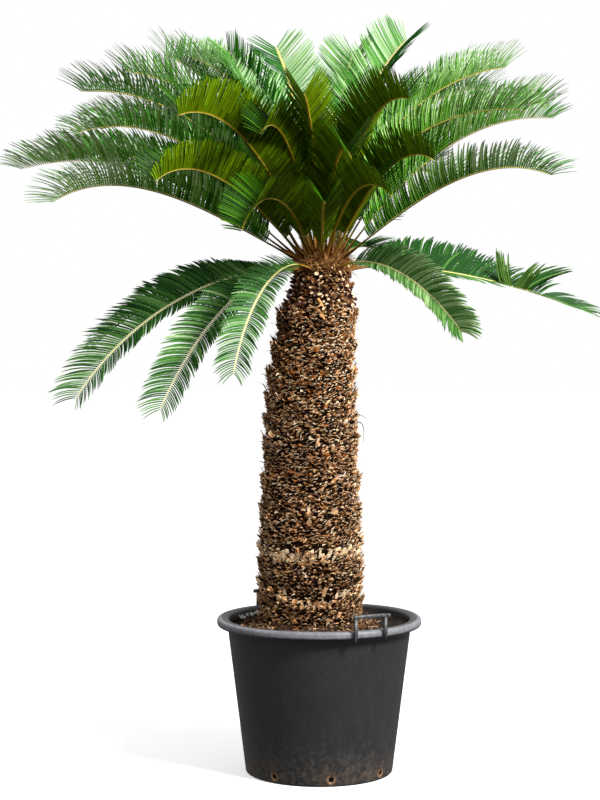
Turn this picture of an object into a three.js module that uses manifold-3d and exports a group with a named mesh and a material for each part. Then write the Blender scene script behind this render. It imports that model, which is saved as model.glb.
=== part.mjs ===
// A sago palm in a round nursery pot, in millimetres, +Z up, with the origin at the centre of the pot's
// underside. The front of the plant faces -Y. The pot holds soil, the ringed trunk stands on the soil, the
// crown's heart sits on the trunk, and every frond springs from the heart. Each solid keeps a clearance of 0.3
// to its neighbours.
import * as THREE from "three";
import { mergeVertices } from "three/addons/utils/BufferGeometryUtils.js";
import Module from "manifold-3d";

const CLEARANCE = 0.3;
const DEGREE = Math.PI / 180;

// Pot: a tapered wall with a thick rolled rim, and a ring of drain holes just above the floor.
const POT_HEIGHT = 494;
const POT_FOOT_RADIUS = 235;
const POT_NECK_RADIUS = 292;
const POT_RIM_RADIUS = 325;
const POT_RIM_HEIGHT = 26;
const POT_RIM_ROUND = 7;
const POT_MOUTH_FALL = 14;
const POT_FOOT_CHAMFER = 8;
const POT_WALL = 5;
const POT_SIDES = 40;
const HOLE_COUNT = 8;
const HOLE_RADIUS = 8;
const HOLE_HEIGHT = 23.5;
const HOLE_SIDES = 8;
const FIRST_HOLE_AZIMUTH = -81;

// Soil: fills the pot to a little below the rim.
const SOIL_LEVEL = 465;

// Handles: two fixed loops that stand up outside the rim, opposite each other.
const HANDLE_WIDTH = 118;
const HANDLE_LEG = 14;
const HANDLE_BAR = 14;
const HANDLE_DEPTH = 12;
const HANDLE_FOOT = 464;
const HANDLE_TOP = 546;
const HANDLE_OVERHANG = 10;
const HANDLE_CHAMFER = 4;
const HANDLE_AZIMUTH = -61.5;

// Trunk: the shelves of old leaf bases, from the soil up, as the height of each shelf's edge.
const SHELF_HEIGHTS = [532, 600, 659, 735, 843, 938, 1055, 1115, 1185, 1261, 1350, 1451];
const SHELF_DEPTH = 7;
const SHELF_SLOPE = 6;
const TRUNK_BASE_RADIUS = 166;
const TRUNK_TAPER_START = 735;
const TRUNK_SHOULDER = 1451;
const TRUNK_SHOULDER_RADIUS = 131;
const TRUNK_NECK = 1510;
const TRUNK_NECK_RADIUS = 114;
const TRUNK_TOP = 1580;
const TRUNK_TOP_RADIUS = 100;
const TRUNK_SIDES = 36;
const SCALE_HEIGHT = 26;
const SCALE_RELIEF = 10;
const ROOT_FLARE = 6;
const ROOT_FLARE_HEIGHT = 40;
const TRUNK_OFFSET = -28;
const CROWN_OFFSET = 5;
const LEAN_START = 1080;

// Heart: the low dome on the trunk that the fronds spring from.
const HEART_HEIGHT = 35;
const SEAT_RADIUS = 30;
const SEAT_SPREAD = 75;
const SEAT_RISE = 45;
const HEART_SIDES = 24;
const HEART_RISES = [0, 20, 40, 60, 90];

// Fronds, as rows of azimuth, angle above the level at the base and at the tip, length of the rib, and bend:
// with a bend of 1 the rib turns evenly along its length, and with a higher one it keeps straight and turns
// near its tip. Where there is a sixth number, the frond is rolled about its rib by that angle.
const FRONDS = {
  upper: [
    [163, 77, 10, 900, 1], [145, 67, 22, 900, 1.5], [136, 75, 41, 780, 1.3, 30], [111, 77, 38, 800, 1.5],
    [76, 75, 34, 810, 1.5], [52, 80, 34, 850, 1.2, -14], [28, 66, 0, 820, 2], [17, 75, 8, 880, 1.3],
    [-12, 75, -8, 800, 1.1], [146, 84, 18, 860, 1.1],
  ],
  side: [
    [190, 35, -19, 920, 2], [210, 25, -34, 860, 3], [200, 50, -22, 850, 2], [167, 61, -3, 950, 1.5],
    [3, 52, -6, 820, 2], [-30, 34, -24, 760, 2.6],
  ],
  front: [
    [239, 48, -18, 840, 2.2], [230, 34, -36, 720, 3], [251, 39, -48, 670, 1.5], [252, 56, -40, 660, 3],
    [265, 63, 6, 700, 1.5], [277, 58, -24, 740, 1.2], [287, 50, -23, 660, 1], [294, 62, -14, 750, 2],
    [300, 43, -25, 660, 2.5], [271, 32, -12, 550, 1.5],
  ],
  back: [
    [100, 60, -5, 900, 1.5], [65, 58, -5, 900, 1.5], [14, 60, 0, 880, 1.4], [152, 56, -12, 930, 1.5],
    [90, 44, -20, 900, 1.5], [75, 34, -25, 850, 1.5], [110, 36, -25, 850, 1.5], [58, 46, -15, 800, 1.5],
    [173, 42, -18, 880, 1.8], [38, 57, 4, 800, 1.4],
  ],
  drooping: [
    [165, 0, -42, 730, 1.1, 40], [203, 0, -56, 840, 0.9, 46], [225, 10, -60, 740, 0.5, 40],
    [246, 15, -68, 660, 0.8, 25], [303, 22, -40, 690, 0.6, -42], [8, 14, -21, 790, 0.45, -25],
    [40, 20, -15, 750, 0.6, -35], [72, 24, -20, 750, 1], [92, 10, -25, 750, 1], [120, 5, -25, 700, 1],
  ],
};
const DROOPING_SEAT_RADIUS = 100;
const DROOPING_SEAT_HEIGHT = -15;
const RIB_ROOT_DEPTH = 14;
const RIB_BASE_WIDTH = 12;
const RIB_TIP_WIDTH = 3;
const RIB_BASE_HEIGHT = 7;
const RIB_TIP_HEIGHT = 3;
const STALK_SHARE = 0.13;
const STALK_STEPS = 2;
const BLADE_STEPS = 19;
const CURVE_STEPS = 6;

// Leaflets: one tooth on each side of every step of the blade. Shares and places run from 0 where the blade
// starts to 1 at its tip. A leaflet leans towards the tip, more so near it, and lifts above the rib in an open V.
const LEAFLET_SHARE = 0.18;
const LEAFLET_SHARE_DROOPING = 0.14;
const LEAFLET_FIRST = 0.35;
const LEAFLET_FULL_PLACE = 0.35;
const LEAFLET_FADE_PLACE = 0.6;
const LEAFLET_FADE = 0.35;
const LEAFLET_LEAN_BASE = 64;
const LEAFLET_LEAN_TIP = 54;
const LEAFLET_LIFT_BASE = 44;
const LEAFLET_LIFT_TIP = 42;
const LEAFLET_LIFT_DROOPING = 26;
const LEAFLET_TRIALS = [1, 0.8, 0.6, 0.4];
const LEAFLET_GAP = 5;
const RIB_GAP = 9;

const wasm = await Module();
wasm.setup();

// Joining and cutting.

function solidFromGeometry(geometry) {
  const bare = geometry.clone();
  bare.deleteAttribute("normal");
  bare.deleteAttribute("uv");
  const merged = mergeVertices(bare, 1e-3);
  const vertProperties = Float32Array.from(merged.getAttribute("position").array);
  const triVerts = Uint32Array.from(merged.getIndex().array);
  return new wasm.Manifold(new wasm.Mesh({ numProp: 3, vertProperties, triVerts }));
}

function geometryFromSolid(solid) {
  const mesh = solid.getMesh();
  const geometry = new THREE.BufferGeometry();
  geometry.setAttribute("position", new THREE.BufferAttribute(Float32Array.from(mesh.vertProperties), 3));
  geometry.setIndex(Array.from(mesh.triVerts));
  geometry.computeVertexNormals();
  return geometry;
}

function namedMesh(name, geometry, color, roughness, metalness = 0) {
  const mesh = new THREE.Mesh(geometry, new THREE.MeshStandardMaterial({ color, roughness, metalness }));
  mesh.name = name;
  return mesh;
}

// A lathe turns its outline about Y, so the turned piece is stood up to make its axis Z.
function turnedGeometry(outline, sides) {
  const points = outline.map(([radius, height]) => new THREE.Vector2(radius, height));
  return new THREE.LatheGeometry(points, sides).rotateX(90 * DEGREE);
}

// Pot, soil and handles.

function potOutline() {
  const rimFoot = POT_HEIGHT - POT_RIM_HEIGHT;
  const innerNeck = POT_NECK_RADIUS - POT_WALL;
  return [
    [0, 0],
    [POT_FOOT_RADIUS - POT_FOOT_CHAMFER, 0],
    [POT_FOOT_RADIUS, POT_FOOT_CHAMFER],
    [POT_NECK_RADIUS, rimFoot],
    [POT_RIM_RADIUS - POT_RIM_ROUND, rimFoot],
    [POT_RIM_RADIUS, rimFoot + POT_RIM_ROUND],
    [POT_RIM_RADIUS, POT_HEIGHT - POT_RIM_ROUND],
    [POT_RIM_RADIUS - POT_RIM_ROUND, POT_HEIGHT],
    [innerNeck + POT_MOUTH_FALL, POT_HEIGHT],
    [innerNeck, POT_HEIGHT - POT_MOUTH_FALL],
    [POT_FOOT_RADIUS - POT_WALL, POT_WALL],
    [0, POT_WALL],
  ];
}

function makePot() {
  const drillLength = 8 * POT_WALL;
  const drill = new THREE.CylinderGeometry(HOLE_RADIUS, HOLE_RADIUS, drillLength, HOLE_SIDES);
  drill.rotateZ(90 * DEGREE);
  let pot = solidFromGeometry(turnedGeometry(potOutline(), POT_SIDES));
  for (let k = 0; k < HOLE_COUNT; k += 1) {
    const azimuth = (FIRST_HOLE_AZIMUTH + (k * 360) / HOLE_COUNT) * DEGREE;
    const placed = drill.clone().translate(POT_FOOT_RADIUS, 0, HOLE_HEIGHT).rotateZ(azimuth);
    pot = pot.subtract(solidFromGeometry(placed));
  }
  return namedMesh("pot", geometryFromSolid(pot), "#26272a", 0.62);
}

// The inside radius of the pot's wall, which leans out from the floor to the mouth.
function potInnerRadius(height) {
  const share = (height - POT_WALL) / (POT_HEIGHT - POT_MOUTH_FALL - POT_WALL);
  return THREE.MathUtils.lerp(POT_FOOT_RADIUS, POT_NECK_RADIUS, share) - POT_WALL;
}

function makeSoil() {
  const floor = POT_WALL + CLEARANCE;
  const outline = [
    [0, floor],
    [potInnerRadius(floor) - CLEARANCE, floor],
    [potInnerRadius(SOIL_LEVEL) - CLEARANCE, SOIL_LEVEL],
    [0, SOIL_LEVEL],
  ];
  return namedMesh("soil", turnedGeometry(outline, POT_SIDES), "#2b2119", 0.95);
}

// A handle is a flat loop, drawn as an upside-down U and extruded. Its bar runs on a little past one leg. It
// stands outside the rim, where the inner edges of its two legs meet the rim's round.
function makeHandle(name, azimuth) {
  const half = HANDLE_WIDTH / 2;
  const inner = half - HANDLE_LEG;
  const height = HANDLE_TOP - HANDLE_FOOT;
  const underBar = height - HANDLE_BAR;
  const end = half + HANDLE_OVERHANG;
  const cut = HANDLE_CHAMFER;
  const outline = [
    [-half, cut], [-half + cut, 0], [-inner - cut, 0], [-inner, cut], [-inner, underBar],
    [inner, underBar], [inner, cut], [inner + cut, 0], [half - cut, 0], [half, cut], [half, underBar],
    [end, underBar], [end, height - cut], [end - cut, height], [-half + cut, height], [-half, height - cut],
  ];
  const loop = new THREE.Shape(outline.map(([across, above]) => new THREE.Vector2(across, above)));
  const geometry = new THREE.ExtrudeGeometry(loop, { depth: HANDLE_DEPTH, bevelEnabled: false });
  geometry.rotateX(90 * DEGREE).rotateZ(90 * DEGREE);
  const seat = Math.sqrt(POT_RIM_RADIUS ** 2 - inner ** 2) + CLEARANCE;
  const mesh = namedMesh(name, geometry, "#202124", 0.55);
  mesh.rotation.z = azimuth * DEGREE;
  mesh.position.set(seat * Math.cos(azimuth * DEGREE), seat * Math.sin(azimuth * DEGREE), HANDLE_FOOT);
  return mesh;
}

// Trunk and heart.

// The trunk's axis stands upright to where the lean starts, then eases over to the crown's centre.
function trunkAxisX(height) {
  const share = THREE.MathUtils.clamp((height - LEAN_START) / (TRUNK_TOP - LEAN_START), 0, 1);
  return THREE.MathUtils.lerp(TRUNK_OFFSET, CROWN_OFFSET, share * share * (3 - 2 * share));
}

function trunkRadius(height) {
  const taper = (height - TRUNK_TAPER_START) / (TRUNK_SHOULDER - TRUNK_TAPER_START);
  return THREE.MathUtils.lerp(TRUNK_BASE_RADIUS, TRUNK_SHOULDER_RADIUS, THREE.MathUtils.clamp(taper, 0, 1));
}

// From the ground up, each ring of leaf bases swells to its shelf, where the trunk steps in again.
function trunkOutline(foot) {
  const outline = [[trunkRadius(foot) + ROOT_FLARE, foot]];
  outline.push([trunkRadius(foot) - SHELF_DEPTH, foot + ROOT_FLARE_HEIGHT]);
  for (const shelf of SHELF_HEIGHTS) {
    outline.push([trunkRadius(shelf), shelf - SHELF_SLOPE]);
    outline.push([trunkRadius(shelf) - SHELF_DEPTH, shelf + SHELF_SLOPE]);
  }
  outline.push([TRUNK_NECK_RADIUS, TRUNK_NECK], [TRUNK_TOP_RADIUS, TRUNK_TOP]);
  return outline;
}

// The outline with more corners put in, so that no step up it is longer than the given one.
function closerCorners(outline, longest) {
  return outline.flatMap(([radius, height], k) => {
    const [nextRadius, nextHeight] = outline[k + 1] ?? [radius, height];
    const count = Math.max(1, Math.ceil((nextHeight - height) / longest));
    return Array.from({ length: count }, (_, step) => [
      THREE.MathUtils.lerp(radius, nextRadius, step / count),
      THREE.MathUtils.lerp(height, nextHeight, step / count),
    ]);
  });
}

// The old leaf bases, larger than life: the corners of the trunk's surface stand out and in by turns, round it
// and up it. Its foot and its top stay round, where it meets the soil and the heart.
function makeTrunk() {
  const foot = SOIL_LEVEL + CLEARANCE;
  const rows = [[0, foot], ...closerCorners(trunkOutline(foot), SCALE_HEIGHT), [0, TRUNK_TOP]];
  const geometry = turnedGeometry(rows, TRUNK_SIDES);
  const position = geometry.getAttribute("position");
  for (let i = 0; i < position.count; i += 1) {
    const row = i % rows.length;
    const column = Math.floor(i / rows.length);
    const scaled = row > 1 && row < rows.length - 2;
    const radius = rows[row][0];
    const relief = (row + column) % 2 === 0 ? SCALE_RELIEF / 2 : -SCALE_RELIEF / 2;
    const grown = scaled ? (radius + relief) / radius : 1;
    position.setX(i, position.getX(i) * grown + trunkAxisX(position.getZ(i)));
    position.setY(i, position.getY(i) * grown);
  }
  return namedMesh("trunk", geometry, "#6b4a32", 0.95);
}

// The seat of a frond on the heart, measured from the crown's centre: a steep frond springs from nearer the
// middle.
function seatOnHeart(rise, grow = 0) {
  return [
    SEAT_RADIUS + (SEAT_SPREAD + grow) * Math.cos(rise * DEGREE),
    (SEAT_RISE + grow) * Math.sin(rise * DEGREE),
  ];
}

function heartGeometry(grow) {
  const foot = -HEART_HEIGHT + CLEARANCE - grow;
  const outline = [[0, foot], [TRUNK_TOP_RADIUS + grow, foot]];
  for (const rise of HEART_RISES) {
    outline.push(seatOnHeart(rise, grow));
  }
  outline.push([0, SEAT_RISE + grow]);
  return turnedGeometry(outline, HEART_SIDES);
}

// Fronds.

function frondCurve([azimuth, rise, tip, length, bend, roll = 0], drooping) {
  const outward = new THREE.Vector3(Math.cos(azimuth * DEGREE), Math.sin(azimuth * DEGREE), 0);
  const upward = new THREE.Vector3(0, 0, 1);
  const heading = (place) => {
    const angle = (rise + (tip - rise) * place ** bend) * DEGREE;
    return outward.clone().multiplyScalar(Math.cos(angle)).addScaledVector(upward, Math.sin(angle));
  };
  const [radius, height] = drooping ? [DROOPING_SEAT_RADIUS, DROOPING_SEAT_HEIGHT] : seatOnHeart(rise);
  const seat = outward.clone().multiplyScalar(radius).setZ(height);
  return { seat, heading, length, roll: roll * DEGREE, level: new THREE.Vector3().crossVectors(outward, upward) };
}

// Stations run along the rib: the first is inside the heart, which cuts it off, and the last is the tip.
function ribStations(curve) {
  const places = [];
  for (let k = 0; k <= STALK_STEPS; k += 1) {
    places.push((STALK_SHARE * k) / STALK_STEPS);
  }
  for (let k = 1; k <= BLADE_STEPS; k += 1) {
    places.push(STALK_SHARE + ((1 - STALK_SHARE) * k) / BLADE_STEPS);
  }
  const point = curve.seat.clone();
  const stations = [];
  places.forEach((place, k) => {
    const before = k === 0 ? 0 : places[k - 1];
    for (let step = 0; step < CURVE_STEPS; step += 1) {
      const middle = before + ((place - before) * (step + 0.5)) / CURVE_STEPS;
      point.addScaledVector(curve.heading(middle), (curve.length * (place - before)) / CURVE_STEPS);
    }
    const along = curve.heading(place);
    const centre = k === 0 ? point.clone().addScaledVector(along, -RIB_ROOT_DEPTH) : point.clone();
    const side = curve.level.clone().applyAxisAngle(along, -curve.roll);
    const up = new THREE.Vector3().crossVectors(side, along);
    stations.push({ place, centre, along, up, side });
  });
  return stations;
}

// The four corners of the rib's section, in the order top right, top left, bottom left, bottom right.
function sectionCorners(station) {
  const halfWidth = THREE.MathUtils.lerp(RIB_BASE_WIDTH, RIB_TIP_WIDTH, station.place) / 2;
  const halfHeight = THREE.MathUtils.lerp(RIB_BASE_HEIGHT, RIB_TIP_HEIGHT, station.place) / 2;
  return [[1, 1], [-1, 1], [-1, -1], [1, -1]].map(([across, above]) =>
    station.centre.clone()
      .addScaledVector(station.side, across * halfWidth)
      .addScaledVector(station.up, above * halfHeight)
  );
}

function leafletLength(place, length, drooping) {
  const share = drooping ? LEAFLET_SHARE_DROOPING : LEAFLET_SHARE;
  const grown = Math.sin(Math.min(place / LEAFLET_FULL_PLACE, 1) * 90 * DEGREE);
  const past = Math.max(0, (place - LEAFLET_FADE_PLACE) / (1 - LEAFLET_FADE_PLACE));
  const full = length * share * THREE.MathUtils.lerp(LEAFLET_FIRST, 1, grown);
  return full * (1 - LEAFLET_FADE * past * past);
}

function leafletHeading(station, hand, place, drooping) {
  const lean = THREE.MathUtils.lerp(LEAFLET_LEAN_BASE, LEAFLET_LEAN_TIP, place) * DEGREE;
  const lifted = THREE.MathUtils.lerp(LEAFLET_LIFT_BASE, LEAFLET_LIFT_TIP, place);
  const lift = (drooping ? LEAFLET_LIFT_DROOPING : lifted) * DEGREE;
  return station.along.clone().multiplyScalar(Math.cos(lean))
    .addScaledVector(station.side, hand * Math.sin(lean) * Math.cos(lift))
    .addScaledVector(station.up, Math.sin(lean) * Math.sin(lift));
}

// A flat shape is a line of two corners or a triangle of three, kept with its edges for measuring gaps.
function flatShape(corners) {
  const last = corners.length === 2 ? 1 : 3;
  const edges = [];
  for (let k = 0; k < last; k += 1) {
    edges.push(new THREE.Line3(corners[k], corners[(k + 1) % corners.length]));
  }
  const face = corners.length === 3 ? new THREE.Triangle(...corners) : null;
  return { corners, edges, face, ball: new THREE.Sphere().setFromPoints(corners) };
}

function edgePierces(edge, face) {
  const direction = edge.delta(new THREE.Vector3());
  const length = direction.length();
  const ray = new THREE.Ray(edge.start, direction.divideScalar(length));
  const hit = ray.intersectTriangle(face.a, face.b, face.c, false, new THREE.Vector3());
  return hit !== null && hit.distanceTo(edge.start) <= length;
}

// The gap between two flat shapes is the least of the gaps between their edges and from corner to face.
function gapBetween(one, other) {
  const nearest = new THREE.Vector3();
  let gap = Infinity;
  for (const a of one.edges) {
    for (const b of other.edges) {
      gap = Math.min(gap, Math.sqrt(a.distanceSqToLine3(b)));
    }
  }
  for (const [flat, sharp] of [[one, other], [other, one]]) {
    if (flat.face === null) {
      continue;
    }
    if (sharp.edges.some((edge) => edgePierces(edge, flat.face))) {
      return 0;
    }
    for (const corner of sharp.corners) {
      gap = Math.min(gap, flat.face.closestPointToPoint(corner, nearest).distanceTo(corner));
    }
  }
  return gap;
}

function isClear(shape, placed, owner) {
  return placed.every(({ shape: near, owner: nearOwner, gap }) => {
    if (nearOwner === owner) {
      return true;
    }
    const apart = near.ball.center.distanceTo(shape.ball.center) - near.ball.radius - shape.ball.radius;
    return apart >= gap || gapBetween(shape, near) >= gap;
  });
}

function layOutFronds() {
  const fronds = [];
  for (const [tier, rows] of Object.entries(FRONDS)) {
    rows.forEach((row, k) => {
      const drooping = tier === "drooping";
      const stations = ribStations(frondCurve(row, drooping));
      const name = `frond_${tier}_${k + 1}`;
      fronds.push({ name, length: row[3], drooping, stations, leaflets: new Map() });
    });
  }
  return fronds;
}

// Leaflets are dealt out one step at a time to every frond in turn. One that would come too near another frond
// is tried shorter, and left out where even the shortest has no room.
function growLeaflets(fronds) {
  const placed = [];
  for (const frond of fronds) {
    for (let k = 1; k < frond.stations.length; k += 1) {
      const shape = flatShape([frond.stations[k - 1].centre, frond.stations[k].centre]);
      placed.push({ shape, owner: frond.name, gap: RIB_GAP });
    }
  }
  for (let step = BLADE_STEPS - 2; step >= 0; step -= 1) {
    for (const frond of fronds) {
      const k = STALK_STEPS + step;
      const [near, far] = [frond.stations[k], frond.stations[k + 1]];
      const place = (step + 0.5) / BLADE_STEPS;
      for (const hand of [1, -1]) {
        const middle = near.centre.clone().add(far.centre).multiplyScalar(0.5);
        const reach = leafletHeading(near, hand, place, frond.drooping)
          .multiplyScalar(leafletLength(place, frond.length, frond.drooping));
        for (const trial of LEAFLET_TRIALS) {
          const tip = middle.clone().addScaledVector(reach, trial);
          const shape = flatShape([near.centre, far.centre, tip]);
          if (isClear(shape, placed, frond.name)) {
            placed.push({ shape, owner: frond.name, gap: LEAFLET_GAP });
            frond.leaflets.set(`${k} ${hand}`, tip);
            break;
          }
        }
      }
    }
  }
}

// The rib is a square-cut strip that ends in a point, and each leaflet is a flat spike on the rib's side.
function frondGeometry(frond) {
  const rings = frond.stations.slice(0, -1).map(sectionCorners);
  const points = rings.flat();
  const faces = [[0, 1, 2], [0, 2, 3]];
  for (let k = 0; k < rings.length - 1; k += 1) {
    for (let side = 0; side < 4; side += 1) {
      const [a, b] = [4 * k + side, 4 * k + ((side + 1) % 4)];
      const [c, d] = [b + 4, a + 4];
      const hand = { 1: -1, 3: 1 }[side];
      const tip = frond.leaflets.get(`${k} ${hand}`);
      if (tip === undefined) {
        faces.push([a, c, b], [a, d, c]);
      } else {
        const apex = points.push(tip) - 1;
        faces.push([b, a, apex], [a, d, apex], [d, c, apex], [c, b, apex]);
      }
    }
  }
  const apex = points.push(frond.stations.at(-1).centre) - 1;
  const last = 4 * (rings.length - 1);
  for (let side = 0; side < 4; side += 1) {
    faces.push([last + side, apex, last + ((side + 1) % 4)]);
  }
  const geometry = new THREE.BufferGeometry().setFromPoints(points);
  geometry.setIndex(faces.flat());
  return geometry;
}

function makeCrown() {
  const crown = new THREE.Group();
  crown.position.set(CROWN_OFFSET, 0, TRUNK_TOP + HEART_HEIGHT);
  crown.add(namedMesh("crown_heart", heartGeometry(0), "#5a3a22", 0.95));
  const grownHeart = solidFromGeometry(heartGeometry(CLEARANCE));
  const fronds = layOutFronds();
  growLeaflets(fronds);
  for (const frond of fronds) {
    const cut = solidFromGeometry(frondGeometry(frond)).subtract(grownHeart);
    crown.add(namedMesh(frond.name, geometryFromSolid(cut), frond.drooping ? "#3f6a35" : "#4f7a2c", 0.5));
  }
  return crown;
}

const palm = new THREE.Group();
palm.add(makePot());
palm.add(makeSoil());
palm.add(makeHandle("handle_front", HANDLE_AZIMUTH));
palm.add(makeHandle("handle_back", HANDLE_AZIMUTH + 180));
palm.add(makeTrunk());
palm.add(makeCrown());

export default palm;
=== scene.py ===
# %% [markdown]
# # A sago palm in its nursery pot
#
# A sago palm is a cycad: a thick trunk in an armour of old leaf bases, and a crown of stiff feather
# fronds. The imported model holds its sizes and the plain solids. This lesson dresses it, and each
# plain solid is replaced by finer surfaces that keep to the same place.
#
# The rule of the lesson is that a shape is a formula on whole arrays. Nobody models nine thousand
# leaflets: one formula takes nine thousand places and gives all their points at once.

# %% The frame
import collections
import math

import bpy
import numpy as np
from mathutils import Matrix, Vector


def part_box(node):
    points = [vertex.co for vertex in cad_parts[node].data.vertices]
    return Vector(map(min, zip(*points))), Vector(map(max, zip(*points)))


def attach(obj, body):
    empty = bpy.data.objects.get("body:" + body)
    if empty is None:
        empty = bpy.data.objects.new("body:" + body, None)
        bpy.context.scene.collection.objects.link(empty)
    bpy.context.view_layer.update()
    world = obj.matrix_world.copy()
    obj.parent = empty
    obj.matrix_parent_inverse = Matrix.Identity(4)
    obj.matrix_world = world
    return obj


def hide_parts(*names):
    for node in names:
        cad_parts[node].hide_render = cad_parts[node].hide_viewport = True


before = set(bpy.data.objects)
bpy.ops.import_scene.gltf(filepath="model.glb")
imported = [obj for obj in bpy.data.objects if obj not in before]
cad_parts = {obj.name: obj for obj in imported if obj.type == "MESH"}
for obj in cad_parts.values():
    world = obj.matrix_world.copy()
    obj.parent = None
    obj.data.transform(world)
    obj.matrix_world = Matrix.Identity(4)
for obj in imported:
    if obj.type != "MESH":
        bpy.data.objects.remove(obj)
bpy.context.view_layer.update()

DEGREE = math.pi / 180

# %% [markdown]
# ## The camera
#
# The palm is seen from six metres away with a long lens, a little above the height of a person's
# chest. A long lens keeps the near and the far fronds at nearly the same scale, so the place and
# the lens have to be right together. The camera looks slightly down, and slightly past the plant's
# left.

# %% Camera
CAMERA_PLACE = (0, -6.26, 1.47)
CAMERA_LENS = 88.9
CAMERA_DOWN = 2.61
CAMERA_LEFT = 0.56

camera = bpy.data.objects.new("camera", bpy.data.cameras.new("camera"))
camera.data.lens = CAMERA_LENS
camera.location = CAMERA_PLACE
camera.rotation_euler = ((90 - CAMERA_DOWN) * DEGREE, 0, CAMERA_LEFT * DEGREE)
bpy.context.scene.collection.objects.link(camera)
bpy.context.scene.camera = camera
print("camera:", CAMERA_LENS, "mm lens at", CAMERA_PLACE)

# %% [markdown]
# ## Surfaces from arrays
#
# Almost everything on this plant is a section carried along a path: a leaflet, a rib, a stub of an
# old leaf, a fibre. The pot, the trunk and the soil are the same thing with a large ring of corners
# and one upright path. So one pair of functions makes them all. `carry` places the section's
# corners at every station of every path, and `stitch` joins neighbouring rings with faces and
# closes both ends. A curve object with a bevel could carry a section too, but it can't give each
# face its own paint.
#
# Stubs, stalks and fibres grow out of the trunk in all directions of the compass, so they share a
# few small functions on vectors too.

# %% Vectors
UP = np.array([0.0, 0.0, 1.0])


def unit(vectors):
    """Each vector divided by its own length."""
    return vectors / np.linalg.norm(vectors, axis=-1, keepdims=True)


def square_to(directions, vectors):
    """The part of each vector that is square to its direction, at length 1."""
    return unit(vectors - (vectors * directions).sum(-1, keepdims=True) * directions)


def compass(azimuth):
    """Two level unit vectors at each azimuth: outwards, (cos, sin, 0), and round the axis, (-sin, cos, 0)."""
    cosine, sine = np.cos(azimuth), np.sin(azimuth)
    return np.stack([cosine, sine, 0 * sine], axis=-1), np.stack([-sine, cosine, 0 * sine], axis=-1)


def climbing(outward, around, climb, sway):
    """Unit directions that rise at the angle climb: cos(climb) outward + sin(climb) up + sway around."""
    rising = outward * np.cos(climb)[:, None] + UP * np.sin(climb)[:, None]
    return unit(rising + around * sway[:, None])


def all_round(count):
    """Evenly spaced azimuths for the corners of one ring, in a row."""
    return np.linspace(0, 2 * np.pi, count, endpoint=False)[None]


def added_up(steps):
    """How far each path has come, from nothing at its start to the sum of all its steps at its end."""
    return np.concatenate([np.zeros_like(steps[:, :1]), np.cumsum(steps, axis=1)], axis=1)


print("outwards and round at 90 degrees:", *(np.round(v, 3) for v in compass(90 * DEGREE)))


# %% Carry and stitch
def carry(centres, across, above, section):
    """Rings of points: point = centre + x * across + y * above, for each (x, y) corner of the section.

    centres, across and above are arrays of (path, station, xyz), and the rings are arrays of (path, station,
    corner, xyz). The corners run anticlockwise seen from the path's far end, where across x above points
    along the path."""
    x, y = np.asarray(section, float).T
    return centres[:, :, None] + x[:, None] * across[:, :, None] + y[:, None] * above[:, :, None]


def stitch(rings, tips=None, walls=0, foot=0, ends=0):
    """Joins the rings of each path into a closed shell, and returns its points and its (faces, shades) pairs.

    A wall face joins two neighbouring corners of one ring to the same corners of the next. The first ring is
    closed by one face. The last is closed by one face too, or drawn together to a tip. walls, foot and ends
    are the numbers of the faces' materials: walls may have one for each (path, station, corner), foot and
    ends one for each path."""
    paths, stations, corners, _ = rings.shape
    points = rings.reshape(paths, stations * corners, 3)
    if tips is not None:
        points = np.concatenate([points, tips[:, None]], axis=1)
    first = np.arange(paths)[:, None, None] * points.shape[1]
    corner = np.arange(corners)
    station = np.arange(stations - 1)[:, None] * corners
    here, beside = first + station + corner, first + station + np.roll(corner, -1)
    wall_faces = np.stack([here, beside, beside + corners, here + corners], axis=-1)
    foot_faces = first[:, 0] + corner[::-1]
    last = first[:, 0] + (stations - 1) * corners
    if tips is None:
        end_faces = (last + corner)[:, None]
    else:
        tip = np.broadcast_to(last + corners, (paths, corners))
        end_faces = np.stack([last + corner, last + np.roll(corner, -1), tip], axis=-1)
    end_shades = np.broadcast_to(np.reshape(ends, (-1, 1)), end_faces.shape[:2])
    return points.reshape(-1, 3), [
        (wall_faces.reshape(-1, 4), np.broadcast_to(walls, wall_faces.shape[:3]).ravel()),
        (foot_faces, np.broadcast_to(foot, (paths,))),
        (end_faces.reshape(-1, end_faces.shape[-1]), end_shades.ravel()),
    ]


# %% [markdown]
# ## From arrays to an object
#
# Blender takes a mesh fastest as flat lists: all coordinates, then all face corners, then where
# each face starts. Adding faces one by one with the editing tools would take minutes for a million
# triangles. Several shells go into one object, because ten thousand small objects would be slow.
# Every piece rides on the one body that the plant has, and hides the plain solids it stands for.

# %% Make a piece
def make_piece(name, shells, materials, replaced=(), smooth=False):
    """One object made of shells, in metres, with its origin at the frame's origin."""
    points, faces, shades, count = [], [], [], 0
    for shell_points, groups in shells:
        for group_faces, group_shades in groups:
            faces.append(group_faces + count)
            shades.append(group_shades)
        points.append(shell_points)
        count += len(shell_points)
    sides = np.concatenate([np.full(len(group), group.shape[1]) for group in faces])
    corners = np.concatenate([group.ravel() for group in faces])
    mesh = bpy.data.meshes.new(name)
    mesh.vertices.add(count)
    mesh.vertices.foreach_set("co", np.concatenate(points).astype(np.float32).ravel())
    mesh.loops.add(len(corners))
    mesh.loops.foreach_set("vertex_index", corners.astype(np.int32))
    mesh.polygons.add(len(sides))
    mesh.polygons.foreach_set("loop_start", (np.cumsum(sides) - sides).astype(np.int32))
    mesh.polygons.foreach_set("material_index", np.concatenate(shades).astype(np.int32))
    mesh.polygons.foreach_set("use_smooth", np.full(len(sides), smooth))
    mesh.update(calc_edges=True)
    for material in materials:
        mesh.materials.append(material)
    piece = bpy.data.objects.new(name, mesh)
    bpy.context.scene.collection.objects.link(piece)
    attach(piece, "root")
    if replaced:
        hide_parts(*replaced)
    print(f"{name}: {int((sides - 2).sum())} triangles")
    return piece


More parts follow.
